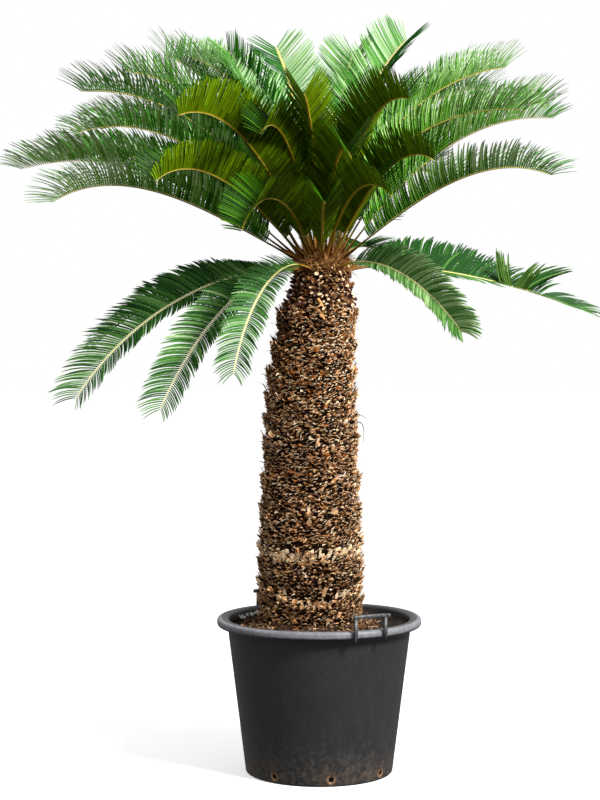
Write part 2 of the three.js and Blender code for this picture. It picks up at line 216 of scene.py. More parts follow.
# %% [markdown]
# ## Finishes as formulas
#
# A finish could be painted on an image, but that needs unwrapping and has seams. Here a finish with
# a pattern is a small sum: dust is noise that is stronger near the ground, wear is noise on the
# rim. Wiring such sums by hand is hard to read, so a socket is wrapped in a class whose `+`, `-`
# and `*` add the Math nodes. Every other node comes from one method. Patterns read the object's own
# coordinates, which are metres in the frame, because every piece sits at the origin.

# %% Sockets and finishes
class Signal:
    """A socket that carries a number. Sums on it add Math nodes to its finish."""

    def __init__(self, finish, socket):
        self.finish, self.socket = finish, socket

    def maths(self, operation, *values):
        return self.finish.node("ShaderNodeMath", {"operation": operation}, dict(enumerate(values)))

    def __add__(self, other):
        return self.maths("ADD", self, other)

    def __sub__(self, other):
        return self.maths("SUBTRACT", self, other)

    def __rsub__(self, other):
        return self.maths("SUBTRACT", other, self)

    def __mul__(self, other):
        return self.maths("MULTIPLY", self, other)

    __radd__, __rmul__ = __add__, __mul__

    def root(self):
        """The square root."""
        return self.maths("SQRT", self)

    def step(self, low, high):
        """0 below low and 1 above high, with a smooth ramp between. With low above high it falls instead."""
        sockets = {"Value": self, "From Min": low, "From Max": high}
        return self.finish.node("ShaderNodeMapRange", {"interpolation_type": "SMOOTHSTEP"}, sockets)


class Finish:
    """A material whose nodes are made by the methods below."""

    def __init__(self, name):
        self.material = bpy.data.materials.new(name)
        self.material.use_nodes = True
        self.nodes, self.links = self.material.node_tree.nodes, self.material.node_tree.links
        self.shader = self.nodes["Principled BSDF"]

    def node(self, kind, settings, sockets, output=0):
        """Adds a node. settings are its own properties, sockets are values or Signals by name or number."""
        made = self.nodes.new(kind)
        for name, value in settings.items():
            setattr(made, name, value)
        self.feed(made, sockets)
        return Signal(self, made.outputs[output])

    def feed(self, node, sockets):
        """Sets or links the sockets of a node."""
        for name, value in sockets.items():
            if isinstance(value, Signal):
                self.links.new(value.socket, node.inputs[name])
            else:
                node.inputs[name].default_value = value

    def place(self, scale=(1, 1, 1)):
        """The object's own coordinates, in metres, multiplied by scale."""
        spot = self.node("ShaderNodeTexCoord", {}, {}, output="Object")
        return self.node("ShaderNodeVectorMath", {"operation": "MULTIPLY"}, {0: spot, 1: scale})

    def axes(self):
        """The three coordinates as separate numbers."""
        spot = self.node("ShaderNodeSeparateXYZ", {}, {0: self.place()})
        return spot, *(Signal(self, spot.socket.node.outputs[k]) for k in (1, 2))

    def noise(self, scale, detail=3, stretch=(1, 1, 1)):
        """Cloudy noise from 0 to 1, scale lumps to the metre, longer along an axis with stretch under 1."""
        sockets = {"Vector": self.place(stretch), "Scale": scale, "Detail": detail}
        return self.node("ShaderNodeTexNoise", {}, sockets)

    def mix(self, share, first, second):
        """The first colour where share is 0 and the second where it is 1."""
        return self.node("ShaderNodeMix", {"data_type": "RGBA"}, {0: share, 6: first, 7: second}, output=2)

    def bump(self, height, depth):
        """A normal tilted by height, whose full range is depth metres."""
        return self.node("ShaderNodeBump", {}, {"Height": height, "Strength": 1, "Distance": depth})

    def done(self, **values):
        """Sets the shader's own sockets, by name with _ for a space, and returns the material."""
        self.feed(self.shader, {name.replace("_", " "): value for name, value in values.items()})
        return self.material


def paint(name, colour, roughness, **values):
    """A plain finish of one base colour, for leaves and stubs that get their variety by being dealt out."""
    values = {"Specular_IOR_Level": 0.1, **values}
    return Finish(name).done(Base_Color=(*colour, 1), Roughness=roughness, **values)


# %% [markdown]
# ## Fronds
#
# A frond is one curved rib with two rows of leaflets. The rib leaves the crown at a steep angle and
# turns over towards its tip under its own weight, in one upright plane. Old fronds also roll about
# their own line, so that one row of leaflets hangs lower. So six numbers are enough for each frond:
# its compass direction, its angle above the level at its foot and at its tip, its length, how late
# it turns, and its roll, which is left out where it is nothing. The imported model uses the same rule
# with nineteen coarse teeth a side, and here it is carried on to the real number of leaflets.
# Forty-six curves could be drawn by hand instead, but numbers are easier to change and to compare.

# %% The fronds' numbers
# Rows of azimuth, rise, angle at the tip, length, bend, and roll where there is one. Angles are in degrees.
FRONDS = {
    "upper": [
        [163, 77, 10, 0.9, 1], [145, 67, 22, 0.9, 1.5], [136, 75, 41, 0.78, 1.3, 30], [111, 77, 38, 0.8, 1.5],
        [76, 75, 34, 0.81, 1.5], [52, 80, 34, 0.85, 1.2, -14], [28, 66, 0, 0.82, 2], [17, 75, 8, 0.88, 1.3],
        [-12, 75, -8, 0.8, 1.1], [146, 84, 18, 0.86, 1.1],
    ],
    "side": [
        [190, 35, -19, 0.92, 2], [210, 25, -34, 0.86, 3], [200, 50, -22, 0.85, 2], [167, 61, -3, 0.95, 1.5],
        [3, 52, -6, 0.82, 2], [-30, 34, -24, 0.76, 2.6],
    ],
    "front": [
        [239, 48, -18, 0.84, 2.2], [230, 34, -36, 0.72, 3], [251, 39, -48, 0.67, 1.5], [252, 56, -40, 0.66, 3],
        [265, 63, 6, 0.7, 1.5], [277, 58, -24, 0.74, 1.2], [287, 50, -23, 0.66, 1], [294, 62, -14, 0.75, 2],
        [300, 43, -25, 0.66, 2.5], [271, 32, -12, 0.55, 1.5],
    ],
    "back": [
        [100, 60, -5, 0.9, 1.5], [65, 58, -5, 0.9, 1.5], [14, 60, 0, 0.88, 1.4], [152, 56, -12, 0.93, 1.5],
        [90, 44, -20, 0.9, 1.5], [75, 34, -25, 0.85, 1.5], [110, 36, -25, 0.85, 1.5], [58, 46, -15, 0.8, 1.5],
        [173, 42, -18, 0.88, 1.8], [38, 57, 4, 0.8, 1.4],
    ],
    "drooping": [
        [165, 0, -42, 0.73, 1.1, 40], [203, 0, -56, 0.84, 0.9, 46], [225, 10, -60, 0.74, 0.5, 40],
        [246, 15, -68, 0.66, 0.8, 25], [303, 22, -40, 0.69, 0.6, -42], [8, 14, -21, 0.79, 0.45, -25],
        [40, 20, -15, 0.75, 0.6, -35], [72, 24, -20, 0.75, 1], [92, 10, -25, 0.75, 1], [120, 5, -25, 0.7, 1],
    ],
}
STALK_SHARE = 0.13

heart_low, heart_high = (np.array(corner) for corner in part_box("crown_heart"))
CROWN_X = (heart_low[0] + heart_high[0]) / 2
SEAT_RADIUS, SEAT_SPREAD, SEAT_RISE = 0.03, 0.075, 0.045
CROWN_LEVEL = heart_high[2] - SEAT_RISE
DROOPING_SEAT_RADIUS, DROOPING_SEAT_HEIGHT = 0.1, -0.015
print("crown centre at x =", np.round(CROWN_X, 3), "and height", np.round(CROWN_LEVEL, 3))


# %% Following a rib
class Ribs:
    """The ribs of one tier of fronds.

    The angle above the level at a place from 0 at the foot to 1 at the tip is
    rise + (tip - rise) * place ** bend, and the rib's line adds up short steps in that direction. It starts
    on the crown's dome, where a steeper frond sits higher and nearer the middle."""

    STEPS = 240

    def __init__(self, tier):
        rows = [row + [0] * (6 - len(row)) for row in FRONDS[tier]]
        azimuth, self.rise, self.tip, self.length, self.bend, self.roll = np.array(rows, float).T
        self.drooping = tier == "drooping"
        self.outward, around = compass(azimuth * DEGREE)
        self.side = -around
        radius = SEAT_RADIUS + SEAT_SPREAD * np.cos(self.rise * DEGREE)
        height = SEAT_RISE * np.sin(self.rise * DEGREE)
        if self.drooping:
            radius, height = radius * 0 + DROOPING_SEAT_RADIUS, DROOPING_SEAT_HEIGHT
        seat = self.outward * radius[:, None] + np.array([CROWN_X, 0, CROWN_LEVEL])
        seat[:, 2] += height
        every = np.arange(len(azimuth))[:, None]
        middles = (np.arange(self.STEPS)[None] + 0.5) / self.STEPS
        steps = self.heading(every, middles) * self.length[:, None, None] / self.STEPS
        self.line = seat[:, None] + added_up(steps)

    def __len__(self):
        return len(self.length)

    def heading(self, frond, place):
        """The unit direction of the rib at each place of each frond."""
        angle = self.rise[frond] + (self.tip[frond] - self.rise[frond]) * place ** self.bend[frond]
        level, steep = np.cos(angle * DEGREE)[..., None], np.sin(angle * DEGREE)[..., None]
        return self.outward[frond] * level + UP * steep

    def at(self, frond, place):
        """The rib's centre and its three directions, along, to the side and up, at each place of each frond.

        side = cos(roll) level + sin(roll) (level x along), where level is square to the upright plane."""
        whole = np.minimum((place * self.STEPS).astype(int), self.STEPS - 1)
        share = (place * self.STEPS - whole)[..., None]
        centre = self.line[frond, whole] * (1 - share) + self.line[frond, whole + 1] * share
        along = self.heading(frond, place)
        level = np.broadcast_to(self.side[frond], along.shape)
        roll = self.roll[frond][..., None] * DEGREE
        side = level * np.cos(roll) + np.cross(level, along) * np.sin(roll)
        return centre, along, side, np.cross(side, along)


TIERS = {tier: Ribs(tier) for tier in FRONDS}
print("fronds:", {tier: len(ribs) for tier, ribs in TIERS.items()})

# %% [markdown]
# ## Leaflets
#
# A leaflet is a stiff blade about eight millimetres wide, narrower towards the frond's tip, with
# its edges rolled under. It stands on the rib's shoulder, leans towards the frond's tip and lifts
# above the rib, so that the frond is an open V. Its section is a flat chevron of four corners,
# which is enough to catch the light on two sides, and it is carried along an arc that bends a
# little towards the tip and down. One leaflet could be repeated along a curve with an Array
# modifier, but then all of them would stand at one angle, and the frond would look like a comb.
#
# Every leaflet gets its place, lean, lift, length and twist as a number in an array. Noise that
# drifts slowly along the rib is added to the lean and lift, because real leaflets stand in loose
# groups. Some groups stray further: they were crushed or blown over on the way, so each of those is
# a row of its own, a `Stray`.

# %% The places of the leaflets
LEAFLET_PITCH = 0.0068
LAST_PLACE = 0.998

# A stray is a stretch, from first to until, of one side of one frond, counted from 1. It adds to lean, lift
# and tone. longer and narrows are factors, of the length and of how much the leaflets narrow to the tip.
Stray = collections.namedtuple("Stray", "frond hand first until lean lift longer paler narrows",
                               defaults=(0, 1, 0, 0, 1, 0, 1))
Leaflets = collections.namedtuple("Leaflets", "frond share hand root directions length across narrows")


def leaflet_places(ribs):
    """The frond, the place from 0 to 1 along its rib, and the side, 1 or -1, of every leaflet of a tier."""
    counts = np.round(ribs.length * (1 - STALK_SHARE) / LEAFLET_PITCH).astype(int)
    frond = np.repeat(np.arange(len(ribs)), 2 * counts)
    number = np.concatenate([np.arange(2 * count) for count in counts])
    place = STALK_SHARE + (1 - STALK_SHARE) * (number // 2 + 0.5) / counts[frond]
    return frond, np.minimum(place, LAST_PLACE), np.where(number % 2, 1, -1)


def drift(frond, hand, place, waves, random):
    """Slow noise along each side of each frond, from about -1 to 1: a sum of sines with drawn phases."""
    total = np.zeros(len(place))
    for wave in waves:
        phase = random.uniform(0, 2 * np.pi, (frond.max() + 1, 2))
        total += np.sin(2 * np.pi * wave * place + phase[frond, (hand + 1) // 2]) / len(waves)
    return total


def strayed(strays, frond, hand, share):
    """What strays add to each leaflet's lean, lift and tone, and the factors of its length and narrowing."""
    lean, lift, paler = np.zeros((3, len(frond)))
    longer, narrows = np.ones((2, len(frond)))
    for stray in strays:
        there = (frond == stray.frond - 1) & (hand == stray.hand)
        there = there & (share > stray.first) & (share < stray.until)
        lean, lift, paler = lean + stray.lean * there, lift + stray.lift * there, paler + stray.paler * there
        longer = longer * np.where(there, stray.longer, 1)
        narrows = narrows * np.where(there, stray.narrows, 1)
    return lean, lift, paler, longer, narrows


print("leaflets:", sum(len(leaflet_places(ribs)[0]) for ribs in TIERS.values()))

# %% [markdown]
# The leaflets grow longer along the first third of the blade, and shorter again towards the frond's
# tip, where they also close up and point forwards. The arc of each is a row of short steps, whose
# lean falls a little from one to the next. Along a drooping frond, the leaflets that would hang
# straight down are shorter.

# %% The leaflets' arcs
LEAFLET_SHARE, DROOPING_SHARE, LEAFLET_FIRST, LEAFLET_FULL_PLACE = 0.18, 0.15, 0.35, 0.35
LEAFLET_FADE_PLACE, LEAFLET_FADE, LAST_LEAFLETS, LAST_FADE = 0.6, 0.2, 0.92, 0.3
LAST_LEAN, HANGING_FADE = 14, 0.75
LEAN_WAVES, LIFT_WAVES, DRIFT_DEGREES, LONE_LEAN, LONE_LIFT = (3, 7, 16), (2, 5, 11), 2, 0.6, 0.7
SHORTEST, LONGEST = 0.8, 1.06
ROOT_OUT, ROOT_UP = 0.8, 0.001
BLADE_STATIONS = np.array([0, 0.03, 0.2, 0.45, 0.68, 0.87, 1])
RIB_HALF_WIDTH, RIB_TAPER, RIB_SWELL, RIB_SWELL_SHARE = 0.0028, 0.0018, 0.0032, 0.08


def rib_half_width(place):
    """Half the rib's width: a taper from 2.8 to 1.0 mm, and 3.2 mm more at the foot that fades away."""
    return RIB_HALF_WIDTH - RIB_TAPER * place + RIB_SWELL * np.exp(-place / RIB_SWELL_SHARE)


print("half a rib, foot to tip, in mm:", np.round(1000 * rib_half_width(np.linspace(0, 1, 5)), 1))


def leaflet_lengths(ribs, look, frond, share, last, longer, outward, random):
    """full * (first + (1 - first) sin(grown)), less the fades towards the tip, times a ragged factor."""
    grown = np.sin(np.minimum(share / LEAFLET_FULL_PLACE, 1) * 90 * DEGREE)
    past = np.maximum(0, (share - LEAFLET_FADE_PLACE) / (1 - LEAFLET_FADE_PLACE))
    full = ribs.length[frond] * (DROOPING_SHARE if ribs.drooping else LEAFLET_SHARE)
    length = full * (LEAFLET_FIRST + (1 - LEAFLET_FIRST) * grown)
    length = length * longer * (1 - LEAFLET_FADE * past**2) * (1 - LAST_FADE * last**2)
    if ribs.drooping:
        length = length * (1 - HANGING_FADE * np.maximum(0, -outward[:, 2]))
    return length * random.normal(1, look.ragged, len(frond)).clip(SHORTEST, LONGEST)


def leaflet_arcs(ribs, look, random):
    """The leaflets of a tier: their roots, and the direction, across vector and length of each short step.

    direction = cos(lean) along + sin(lean) cos(lift) side + sin(lean) sin(lift) up, less droop towards the
    ground, where lean falls from the step nearest the rib to the last by curl degrees."""
    frond, place, hand = leaflet_places(ribs)
    centre, along, side, up = ribs.at(frond, place)
    outward = side * hand[:, None]
    share = (place - STALK_SHARE) / (1 - STALK_SHARE)
    last = np.maximum(0, (share - LAST_LEAFLETS) / (1 - LAST_LEAFLETS))
    stray_lean, stray_lift, _, longer, narrows = strayed(look.strays, frond, hand, share)
    lean = look.lean[0] + (look.lean[1] - look.lean[0]) * share - LAST_LEAN * last**2 + stray_lean
    lift = look.lift[0] + (look.lift[1] - look.lift[0]) * share + stray_lift
    wild = look.tousle * (1 + 0.5 * random.random(len(ribs)))[frond]
    lean = lean + wild * (DRIFT_DEGREES * drift(frond, hand, place, LEAN_WAVES, random)
                          + random.normal(0, LONE_LEAN, len(frond)))
    lift = lift + wild * (DRIFT_DEGREES * drift(frond, hand, place, LIFT_WAVES, random)
                          + random.normal(0, LONE_LIFT, len(frond)))
    length = leaflet_lengths(ribs, look, frond, share, last, longer, outward, random)
    middles = (BLADE_STATIONS[:-1] + BLADE_STATIONS[1:]) / 2
    leans = (lean[:, None] + look.curl * (0.5 - middles)) * DEGREE
    lifts = lift[:, None] * DEGREE
    directions = np.cos(leans)[..., None] * along[:, None]
    directions = directions + (np.sin(leans) * np.cos(lifts))[..., None] * outward[:, None]
    directions = directions + (np.sin(leans) * np.sin(lifts))[..., None] * up[:, None]
    directions[..., 2] -= look.droop * middles**1.5
    directions = unit(directions)
    root = centre + outward * (ROOT_OUT * rib_half_width(place))[:, None] + up * ROOT_UP
    flat = square_to(directions, along[:, None] * hand[:, None, None])
    turned = (look.twist * hand * DEGREE)[:, None, None]
    across = flat * np.cos(turned) + np.cross(directions, flat) * np.sin(turned)
    return Leaflets(frond, share, hand, root, directions, length, across, narrows)


# %% [markdown]
# The shell of a leaflet follows: its centre line adds up the steps, and its width swells quickly
# from the rib, stays even, and runs out in a blunt tip.
#
# The colours are plain and dealt out, and much of their light and shade is painted into them. Every
# frond has a tone for each of its two blades, from 0, the deepest, to 4, the palest, and its leaflets
# keep to it or take the one beside it: the pale tones are a painted sheen of the sky on a blade turned
# to the light, and the deep ones a painted shade on a blade turned away. Of a leaflet's two halves the
# one towards the frond's tip is often a tone deeper, a painted shade which draws the fine stripes. An
# underside has its own shades, and one of its halves is deeper too, with painted shade. It is painted
# paler towards the frond's tip and its own outer end, as light that comes through. The collar at the
# root gives the rib its beaded look.

# %% The leaflets' shells
BLADE_WIDTHS = np.array([0.5, 0.9, 1, 1, 0.92, 0.6])
BLADE_SECTION = [(1, -0.28), (0, 0.13), (-1, -0.28), (0, -0.13)]
SHORT_WIDTH, WIDTH_GAIN = 0.6, 3
# The last number on the next line is the share of leaflets whose half towards the frond's tip is a tone
# deeper, as painted shade.
TONE_WAVES, TONE_DRIFT, TONE_NOISE, PAINTED_SHADE_HALVES = (6, 17, 29), 0.8, 0.8, 0.75
UNDER_WAVES, UNDER_DRIFT, UNDER_NOISE = (9, 23), 0.6, 0.3
# The underside's tones rise along the frond and the leaflet as painted light that comes through; the last
# number on the next line makes one half deeper, as painted shade.
UNDER_TONE, UNDER_RISE, UNDER_PAINTED_SHADE = 0.75, 1.3, 1.1
# glow is how much paler an underside gets along the frond and along the leaflet, painted light that
# comes through. tones has a pair for each frond: the painted light and shade of its two blades.
# half_width, lean and lift are pairs too, at the frond's foot and at its tip.
LeafLook = collections.namedtuple(
    "LeafLook", "slot tops unders collar glow tones strays half_width lean lift droop curl tousle twist "
                "ragged")


def blade_tones(look, leaves, random):
    """The tones of a leaflet's halves towards the tip and towards the foot: its blade's own painted light and
    shade, plus noise, and the half towards the tip often a tone deeper as painted shade.
    """
    own = np.array(look.tones, float)[leaves.frond, (1 - leaves.hand) // 2]
    own = own + strayed(look.strays, leaves.frond, leaves.hand, leaves.share)[2]
    own = own + TONE_DRIFT * drift(leaves.frond, leaves.hand, leaves.share, TONE_WAVES, random)
    foot_half = own + random.normal(0, TONE_NOISE, len(own))
    tip_half = foot_half - (random.random(len(own)) < PAINTED_SHADE_HALVES) * 1.0
    last = len(look.tops) - 1
    return tuple(np.clip(np.round(tone), 0, last).astype(int) for tone in (tip_half, foot_half))


def under_tones(look, leaves, random):
    """The tones of the two halves of each leaflet's underside at each station: they rise along the frond and
    along the leaflet, as painted light that comes through, and one half is deeper, as painted shade."""
    stations = BLADE_STATIONS[1:-1, None]
    noise = random.normal(0, UNDER_NOISE, len(leaves.share))
    noise = noise + UNDER_DRIFT * drift(leaves.frond, leaves.hand, leaves.share, UNDER_WAVES, random)
    along, outwards = look.glow
    tone = UNDER_TONE + (along * leaves.share**UNDER_RISE + noise)[:, None, None] + outwards * stations**2
    tone = tone - np.array([0, UNDER_PAINTED_SHADE])
    return np.clip(np.round(tone), 0, len(look.unders) - 1).astype(int) + len(look.tops)


def leaflet_shells(leaves, look, random):
    """Closed blades for all leaflets of a tier at once.

    Half the width goes from the look's first to its second value by the square of the place along the frond,
    and short leaflets are narrower."""
    steps = leaves.directions * (np.diff(BLADE_STATIONS)[:, None] * leaves.length[:, None, None])
    line = leaves.root[:, None] + added_up(steps)
    foot_width, tip_width = look.half_width
    slim = foot_width + (tip_width - foot_width) * leaves.narrows * leaves.share**2
    slim = slim * np.minimum(1, SHORT_WIDTH + WIDTH_GAIN * leaves.length)
    half = slim[:, None, None] * BLADE_WIDTHS[:, None]
    above = np.cross(leaves.directions, leaves.across)
    rings = carry(line[:, :-1], leaves.across * half, above * half, BLADE_SECTION)
    every, collar = np.arange(len(line)), len(look.tops) + len(look.unders)
    tip_half, foot_half = blade_tones(look, leaves, random)
    tip_wall = np.where(leaves.hand > 0, 0, 1)
    walls = np.empty((len(line), len(BLADE_STATIONS) - 2, len(BLADE_SECTION)), int)
    walls[every, :, tip_wall] = tip_half[:, None]
    walls[every, :, 1 - tip_wall] = foot_half[:, None]
    walls[:, :, 2:] = under_tones(look, leaves, random)
    walls[:, 0] = collar
    return stitch(rings, tips=line[:, -1], walls=walls, foot=collar, ends=foot_half)


def shades_of(tier, look):
    """Plain paints for one tier: its upper sides, its undersides and its collars."""
    paints = [paint(f"leaf_{tier}_top_{k + 1}", colour, 0.5, Specular_IOR_Level=0.08)
              for k, colour in enumerate(look.tops)]
    paints += [paint(f"leaf_{tier}_under_{k + 1}", colour, 0.6, Specular_IOR_Level=0.04)
               for k, colour in enumerate(look.unders)]
    return [*paints, paint(f"leaf_{tier}_collar", look.collar, 0.45)]


# %% [markdown]
# The tiers differ, so each has a look of its own: a row of shades, widths and angles. The upper and
# side fronds are fresh green, with painted sheen on their pale tops and painted glow on their
# undersides. The front ones are seen from below, in the crown's shade, and are olive. The drooping
# ones are the oldest: bluer, more ragged, and crushed in places.

# %% The tiers' looks
# GREENS run from painted shade at the deepest to a painted sheen of the sky at the palest.
GREENS = [(0.004, 0.06, 0.002), (0.020, 0.12, 0.008), (0.06, 0.20, 0.026), (0.13, 0.28, 0.07),
          (0.26, 0.41, 0.19)]
# The palest SHADED tones are painted light that comes through the undersides.
SHADED = [(0.014, 0.07, 0.002), (0.055, 0.20, 0.012), (0.16, 0.39, 0.045), (0.36, 0.59, 0.19),
          (0.64, 0.80, 0.48)]
BLUES = [(0.010, 0.048, 0.007), (0.024, 0.092, 0.015), (0.052, 0.155, 0.026), (0.11, 0.24, 0.06),
         (0.26, 0.40, 0.16)]
OLD_SHADED = [(0.014, 0.04, 0.005), (0.035, 0.085, 0.012), (0.08, 0.17, 0.03), (0.18, 0.32, 0.08)]
OLIVES = [(0.005, 0.026, 0.0004), (0.012, 0.05, 0.0006), (0.021, 0.078, 0.001), (0.042, 0.14, 0.002)]
OLIVE_SHADED = [(0.028, 0.048, 0.0002), (0.064, 0.11, 0.0005), (0.105, 0.19, 0.001), (0.175, 0.32, 0.003)]
GOLDEN = (0.50, 0.42, 0.06)
LEAF_LOOKS = {
    "upper": LeafLook(
        slot="leaflet_green", tops=GREENS, unders=SHADED, collar=GOLDEN, glow=(2.5, 2.1),
        tones=[(3, 3), (2, 4), (1, 2), (4, 0), (3, 3), (0, 3), (2, 3), (3, 3), (3, 3), (4, 3)],
        strays=[Stray(4, -1, lift=-28), Stray(3, 1, lift=24, longer=0.8)],
        half_width=(0.0037, 0.0025), lean=(64, 58), lift=(44, 42), droop=0.10, curl=14, tousle=2.2, twist=12,
        ragged=0.03),
    "side": LeafLook(
        slot="leaflet_blue", tops=GREENS, unders=SHADED, collar=GOLDEN, glow=(2.9, 2.3),
        tones=[(3, 2), (3, 3), (2, 3), (1, 2), (3, 2), (3, 2)], strays=[],
        half_width=(0.0038, 0.0023), lean=(64, 58), lift=(44, 42), droop=0.14, curl=16, tousle=2.6, twist=10,
        ragged=0.04),
    "front": LeafLook(
        slot="leaflet_olive", tops=OLIVES, unders=OLIVE_SHADED, collar=(0.36, 0.24, 0.01), glow=(1.3, 1.5),
        tones=[(2, 2)] * 10, strays=[],
        half_width=(0.0040, 0.0036), lean=(62, 70), lift=(40, 58), droop=0.08, curl=14, tousle=1.2, twist=8,
        ragged=0.02),
    "back": LeafLook(
        slot="leaflet_green", tops=GREENS, unders=SHADED, collar=GOLDEN, glow=(2.2, 1.8),
        tones=[(2, 2), (2, 3), (2, 2), (1, 2), (1, 2), (2, 1), (2, 2), (1, 1), (2, 3), (1, 2)], strays=[],
        half_width=(0.0037, 0.0032), lean=(64, 58), lift=(44, 42), droop=0.12, curl=14, tousle=2.0, twist=14,
        ragged=0.03),
    "drooping": LeafLook(
        slot="leaflet_old", tops=BLUES, unders=OLD_SHADED, collar=(0.42, 0.40, 0.12), glow=(1.5, 1.6),
        tones=[(1, 0), (2, 1), (2, 2), (2, 2), (3, 3), (1, 0), (0, 0), (1, 1), (2, 1), (1, 2)],
        strays=[
            Stray(6, 1, 0.55, 0.61, lean=60, lift=70, longer=1.5, paler=1, narrows=0),
            Stray(6, 1, 0.62, 0.68, lean=20, lift=66, longer=1.4, paler=1.5, narrows=0),
            Stray(6, -1, 0.62, 0.70, lean=-6, lift=60, longer=1.4, paler=2, narrows=0),
            Stray(6, 1, 0.2, 0.5, lift=-10, paler=1),
            Stray(6, 1, 0.75, 1, lean=-20, paler=0.6),
            Stray(6, -1, 0.75, 1, lean=-26, lift=10, paler=0.6),
            Stray(1, 1, 0.6, 1, lift=-20),
            Stray(5, -1, lean=-12, lift=10, longer=1.25, paler=0.6, narrows=0.1),
            Stray(5, 1, lean=-20, lift=-8, longer=1.15, paler=0.3, narrows=0.1),
        ],
        half_width=(0.0043, 0.0020), lean=(58, 50), lift=(26, 26), droop=0.22, curl=20, tousle=1.8, twist=6,
        ragged=0.07),
}

for tier, look in LEAF_LOOKS.items():
    ribs, random = TIERS[tier], np.random.default_rng(len(tier))
    leaves = leaflet_arcs(ribs, look, random)
    shells = [leaflet_shells(leaves, look, random)]
    names = [f"frond_{tier}_{k + 1}" for k in range(len(ribs))]
    make_piece(f"leaflets_{tier}", shells, shades_of(tier, look), names)

# %% [markdown]
# ## Ribs and stalks
#
# The rib is flat on top and rounded below. Above it is pale yellow-green, and palest on the old
# drooping fronds. Below it is golden brown, with a painted shade on the flank away from the lamp.
# Its stalk darkens to brown where it widens into the crown. The bare stalk carries short spines,
# which are leaflets that never grew. Its section of six corners is enough, because each of its
# faces can have its own paint. The ribs of all fronds are one piece, a second kind beside the
# leaflets.

# %% Ribs
RIB_SECTION = [(1, 0.15), (0.62, 1), (-0.62, 1), (-1, 0.15), (-0.3, -1), (0.3, -1)]
TOP_WALL, FIRST_LOWER_WALL, LEFT_FLANK_WALL, RIGHT_FLANK_WALL = 1, 3, 3, 5  # by the corner each starts at
RIB_STATIONS, RIB_CROWDING = 44, 1.15
RIB_ROOT_DEPTH = 0.045
STALK_FLARE, STALK_FLARE_LENGTH = 0.8, 0.03
RIB_HEIGHT_SHARE, FLARE_HEIGHT_SHARE = 0.7, 0.4
BROWN_STALK_SHARE, FOOT_SHARE, LIT_FROM = 0.8, 0.03, 0.7
RIB_PAINTS = [
    paint("rib_top", (0.58, 0.50, 0.12), 0.45),
    paint("rib_under", (0.42, 0.29, 0.010), 0.5),
    paint("rib_stalk", (0.26, 0.155, 0.004), 0.5),
    paint("rib_foot", (0.30, 0.14, 0.025), 0.7),
    paint("rib_painted_shade", (0.03, 0.012, 0.001), 0.5),
    paint("rib_spine", (0.26, 0.21, 0.05), 0.5),
    paint("rib_pale", (0.74, 0.72, 0.32), 0.45),
]
RIB_TOP, RIB_UNDER, RIB_STALK, RIB_FOOT, RIB_PAINTED_SHADE, RIB_SPINE, RIB_PALE = range(len(RIB_PAINTS))


def rib_shell(ribs):
    """The ribs of a tier. Half width and half height fall from foot to tip, and the foot flares out."""
    fronds = np.arange(len(ribs))
    share = np.linspace(0, 1, RIB_STATIONS) ** RIB_CROWDING
    place = np.broadcast_to(share, (len(ribs), RIB_STATIONS))
    centre, along, side, up = ribs.at(fronds[:, None], place)
    centre[:, 0] -= along[:, 0] * RIB_ROOT_DEPTH
    flare = 1 + STALK_FLARE * np.exp(-place * ribs.length[:, None] / STALK_FLARE_LENGTH)
    width = rib_half_width(place) * flare
    height = rib_half_width(place) * RIB_HEIGHT_SHARE * (1 + FLARE_HEIGHT_SHARE * (flare - 1))
    rings = carry(centre, -side * width[..., None], up * height[..., None], RIB_SECTION)
    walls = np.full((len(ribs), RIB_STATIONS - 1, len(RIB_SECTION)), RIB_TOP)
    walls[:, :, FIRST_LOWER_WALL:] = RIB_UNDER
    walls[:, share[:-1] < STALK_SHARE * BROWN_STALK_SHARE] = RIB_STALK
    walls[:, share[:-1] < FOOT_SHARE] = RIB_FOOT
    # The flank away from the lamp gets a painted shade, chosen by which way the frond points.
    shaded = np.where(ribs.outward[:, 0] > LIT_FROM, LEFT_FLANK_WALL, RIGHT_FLANK_WALL)
    walls[fronds, :, shaded] = RIB_PAINTED_SHADE
    if ribs.drooping:
        walls[:, share[:-1] > STALK_SHARE, TOP_WALL] = RIB_PALE
    return stitch(rings[:, :-1], tips=centre[:, -1], walls=walls[:, :-1], foot=RIB_FOOT, ends=RIB_TOP)


# %% Spines
SPINE_PAIRS, SPINE_FIRST, SPINE_OUT = 9, 0.3, 0.004
SPINE_SHORTEST, SPINE_GAIN = 0.004, 0.016
SPINE_HALF_WIDTH, SPINE_HALF_HEIGHT = 0.0014, 0.0012
DIAMOND = [(1, 0), (0, 1), (-1, 0), (0, -1)]


def spine_shell(ribs, random):
    """Pairs of spines on the bare stalk, which lengthen towards the first leaflets."""
    frond = np.repeat(np.arange(len(ribs)), 2 * SPINE_PAIRS)
    number = np.tile(np.arange(2 * SPINE_PAIRS), len(ribs))
    hand = np.where(number % 2, 1, -1)
    share = (number // 2 + 0.5) / SPINE_PAIRS
    centre, along, side, up = ribs.at(frond, STALK_SHARE * (SPINE_FIRST + (1 - SPINE_FIRST) * share))
    outward = unit(side * hand[:, None] + 0.35 * up + 0.3 * along + random.normal(0, 0.12, side.shape))
    length = (SPINE_SHORTEST + SPINE_GAIN * share**2)[:, None]
    root = centre + side * hand[:, None] * SPINE_OUT
    across = unit(np.cross(outward, up))
    above = np.cross(outward, across)
    wide, high = across[:, None] * SPINE_HALF_WIDTH, above[:, None] * SPINE_HALF_HEIGHT
    rings = carry(root[:, None], wide, high, DIAMOND)
    return stitch(rings, tips=root + outward * length, walls=RIB_SPINE, foot=RIB_SPINE, ends=RIB_SPINE)


